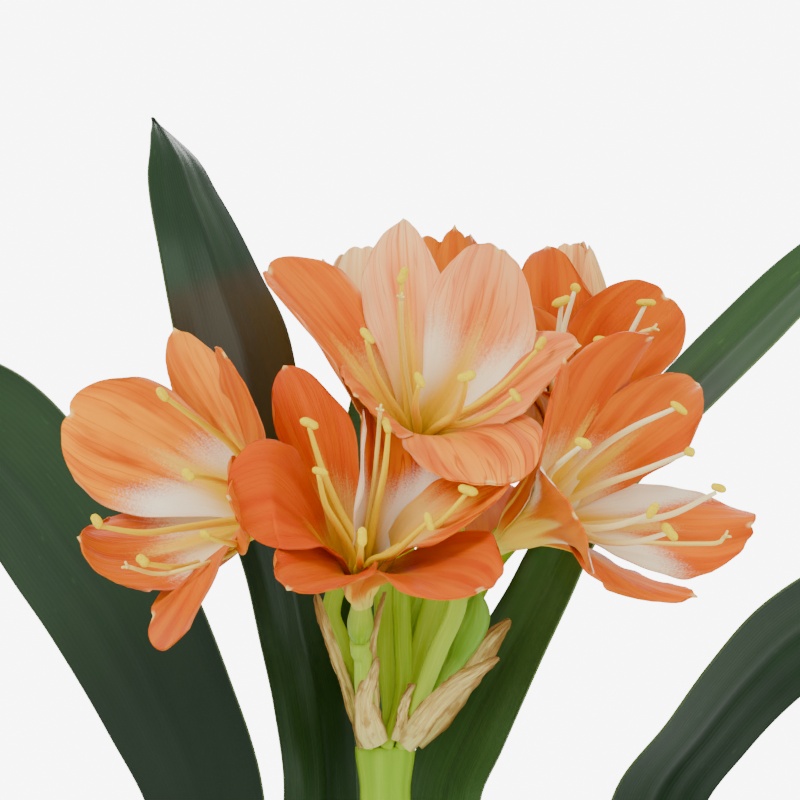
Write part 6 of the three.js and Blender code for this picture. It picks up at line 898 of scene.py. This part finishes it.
# three drainage holes, cut and applied
def merge(me, dist):
    bm = bmesh.new(); bm.from_mesh(me); bmesh.ops.remove_doubles(bm, verts=bm.verts, dist=dist); bmesh.ops.dissolve_degenerate(bm, dist=dist * 0.5, edges=bm.edges); bm.to_mesh(me); bm.free(); me.update()
merge(pot_o.data, 0.00003); cuts = []
for i in range(3):
    a = 2 * math.pi * (i + 0.25) / 3; d = Build(); p = (34 * math.cos(a), 34 * math.sin(a))
    turned(d, [(0.01, -4), (4.5, -4), (4.5, 14), (0.01, 14)], (*p, 0), (*p, 1), 32, 0)
    cut = d.obj("hole_cutter_%d" % i, [M_CLAY]); merge(cut.data, 0.00003); cuts.append(cut)
    m = pot_o.modifiers.new("hole%d" % i, "BOOLEAN"); m.object = cut; m.operation = "DIFFERENCE"; m.solver = "EXACT"
bpy.context.view_layer.update()
me = bpy.data.meshes.new_from_object(pot_o.evaluated_get(bpy.context.evaluated_depsgraph_get())); pot_o.modifiers.clear(); pot_o.data = me
for c in cuts: bpy.data.objects.remove(c)

# soil: lumpy top, crumbs and a little perlite
rng = np.random.RandomState(7); W = [(rng.uniform(0.02, 0.42), rng.uniform(0, 6.28), rng.uniform(0, 6.28)) for _ in range(46)]
def lumps(x, y):
    z = 0
    for f, a, p in W: z = z + np.cos(f * (x * math.cos(a) + y * math.sin(a)) + p) * 0.30 / (0.5 + 3.2 * f)
    return z
soil_z = lambda x, y: 150.0 + 1.2 * smooth(60, 20, np.hypot(x, y)) + lumps(x, y) * smooth(78, 70, np.hypot(x, y)) - 1.5 * smooth(58, 77, np.hypot(x, y))
r = np.r_[0.01, np.linspace(0.8, 77.9, 78)]; ph = np.linspace(0, 2 * np.pi, 193); X, Y = r[:, None] * np.cos(ph), r[:, None] * np.sin(ph)
top = np.stack([X, Y, soil_z(X, Y)], -1); wall = np.array([(77.6, 144.6), (70.4, 126), (53.5, 13.3), (47.7, 8.4), (0.01, 8.4)]); Wl = np.stack([wall[:, 0][:, None] * np.cos(ph), wall[:, 0][:, None] * np.sin(ph), np.broadcast_to(wall[:, 1][:, None], (5, 193))], -1)
Q = np.concatenate([top, Wl]); U, V = np.meshgrid(np.linspace(0, 1, len(Q)), ph / (2 * np.pi), indexing="ij"); b = Build(); b.grid(Q, U, V, 0, False)
def crumb(b, c, s, rng, mat):
    n, m = 6, 8; th = np.linspace(0, np.pi, n + 1); p2 = np.linspace(0, 2 * np.pi, m + 1); T, P = np.meshgrid(th, p2, indexing="ij")
    k = 1 + 0.28 * np.cos(2 * T + rng.uniform(0, 6)) * np.cos(2 * P + rng.uniform(0, 6)) + 0.16 * np.cos(3 * P + rng.uniform(0, 6)) * np.sin(T) ** 2
    Q = np.stack([k * np.sin(T) * np.cos(P), k * np.sin(T) * np.sin(P) * rng.uniform(.6, 1), k * np.cos(T) * rng.uniform(.5, .9)], -1)
    A, _ = np.linalg.qr(rng.normal(size=(3, 3)));  A = A * (1 if np.linalg.det(A) > 0 else -1)
    b.grid(Q @ A.T * s + np.array(c), T / np.pi, P / (2 * np.pi), mat, False, (rng.uniform(), 0, 0, rng.uniform()))
for i in range(840):
    q, a = 74 * math.sqrt(rng.uniform(0.01, 1)), rng.uniform(0, 2 * math.pi); x, y = q * math.cos(a), q * math.sin(a); s = rng.uniform(0.5, 1.7) if i % 9 else rng.uniform(1.7, 2.8)
    crumb(b, (x, y, float(soil_z(x, y)) + s * 0.10), s, rng, 0)
for i in range(70):
    q, a = 73 * math.sqrt(rng.uniform(0.05, 1)), rng.uniform(0, 2 * math.pi); x, y = q * math.cos(a), q * math.sin(a); s = rng.uniform(0.8, 1.8)
    crumb(b, (x, y, float(soil_z(x, y)) + s * 0.15), s, rng, 1)
b.obj("soil_surface", [M_SOIL, M_PERL], ["soil"], "soil")

# ------------------------------------------------------------------ floor, light and the end
def floor_mat():
    g = G("studio_floor"); n = g.noise(g.obj(), 6.0, 4.0, 0.6)
    return g.put(color=g.mix(n, (.90, .90, .89), (.95, .95, .945)), rough=0.8, spec=0.2)
me = bpy.data.meshes.new("floor"); ph = np.linspace(0, 2 * np.pi, 97)[:-1]
me.from_pydata([(3.9 * math.cos(a), 3.9 * math.sin(a), 0.0) for a in ph], [], [tuple(range(96))]); me.materials.append(floor_mat())
floor = bpy.data.objects.new("floor", me); bpy.context.scene.collection.objects.link(floor)

world = bpy.data.worlds.new("studio"); bpy.context.scene.world = world; world.use_nodes = True
wt = world.node_tree; bg = wt.nodes["Background"]; bg.inputs[0].default_value = (1.0, 1.0, 1.0, 1.0)
lp = wt.nodes.new("ShaderNodeLightPath"); mr = wt.nodes.new("ShaderNodeMapRange"); mr.inputs[3].default_value = 1.05; mr.inputs[4].default_value = 8.0
wt.links.new(lp.outputs["Is Camera Ray"], mr.inputs[0]); wt.links.new(mr.outputs[0], bg.inputs[1])
def area(name, loc, aim, size, watts, color=(1, 1, 1)):
    d = bpy.data.lights.new(name, "AREA"); d.shape = "SQUARE"; d.size = size; d.energy = watts; d.color = color
    o = bpy.data.objects.new(name, d); bpy.context.scene.collection.objects.link(o); o.location = loc
    o.rotation_euler = (Vector(aim) - Vector(loc)).to_track_quat("-Z", "Y").to_euler(); return o
area("key", (-0.9, -1.2, 1.5), (0, 0, 0.46), 0.7, 28.0, (1.0, 0.985, 0.96))
area("front", (0.25, -1.9, 0.66), (0, 0, 0.47), 1.0, 5.0)
area("fill", (1.3, -0.7, 0.8), (0, 0, 0.46), 1.0, 10.0)
area("rim", (0.4, 1.3, 1.5), (0, 0, 0.46), 0.8, 14.0)
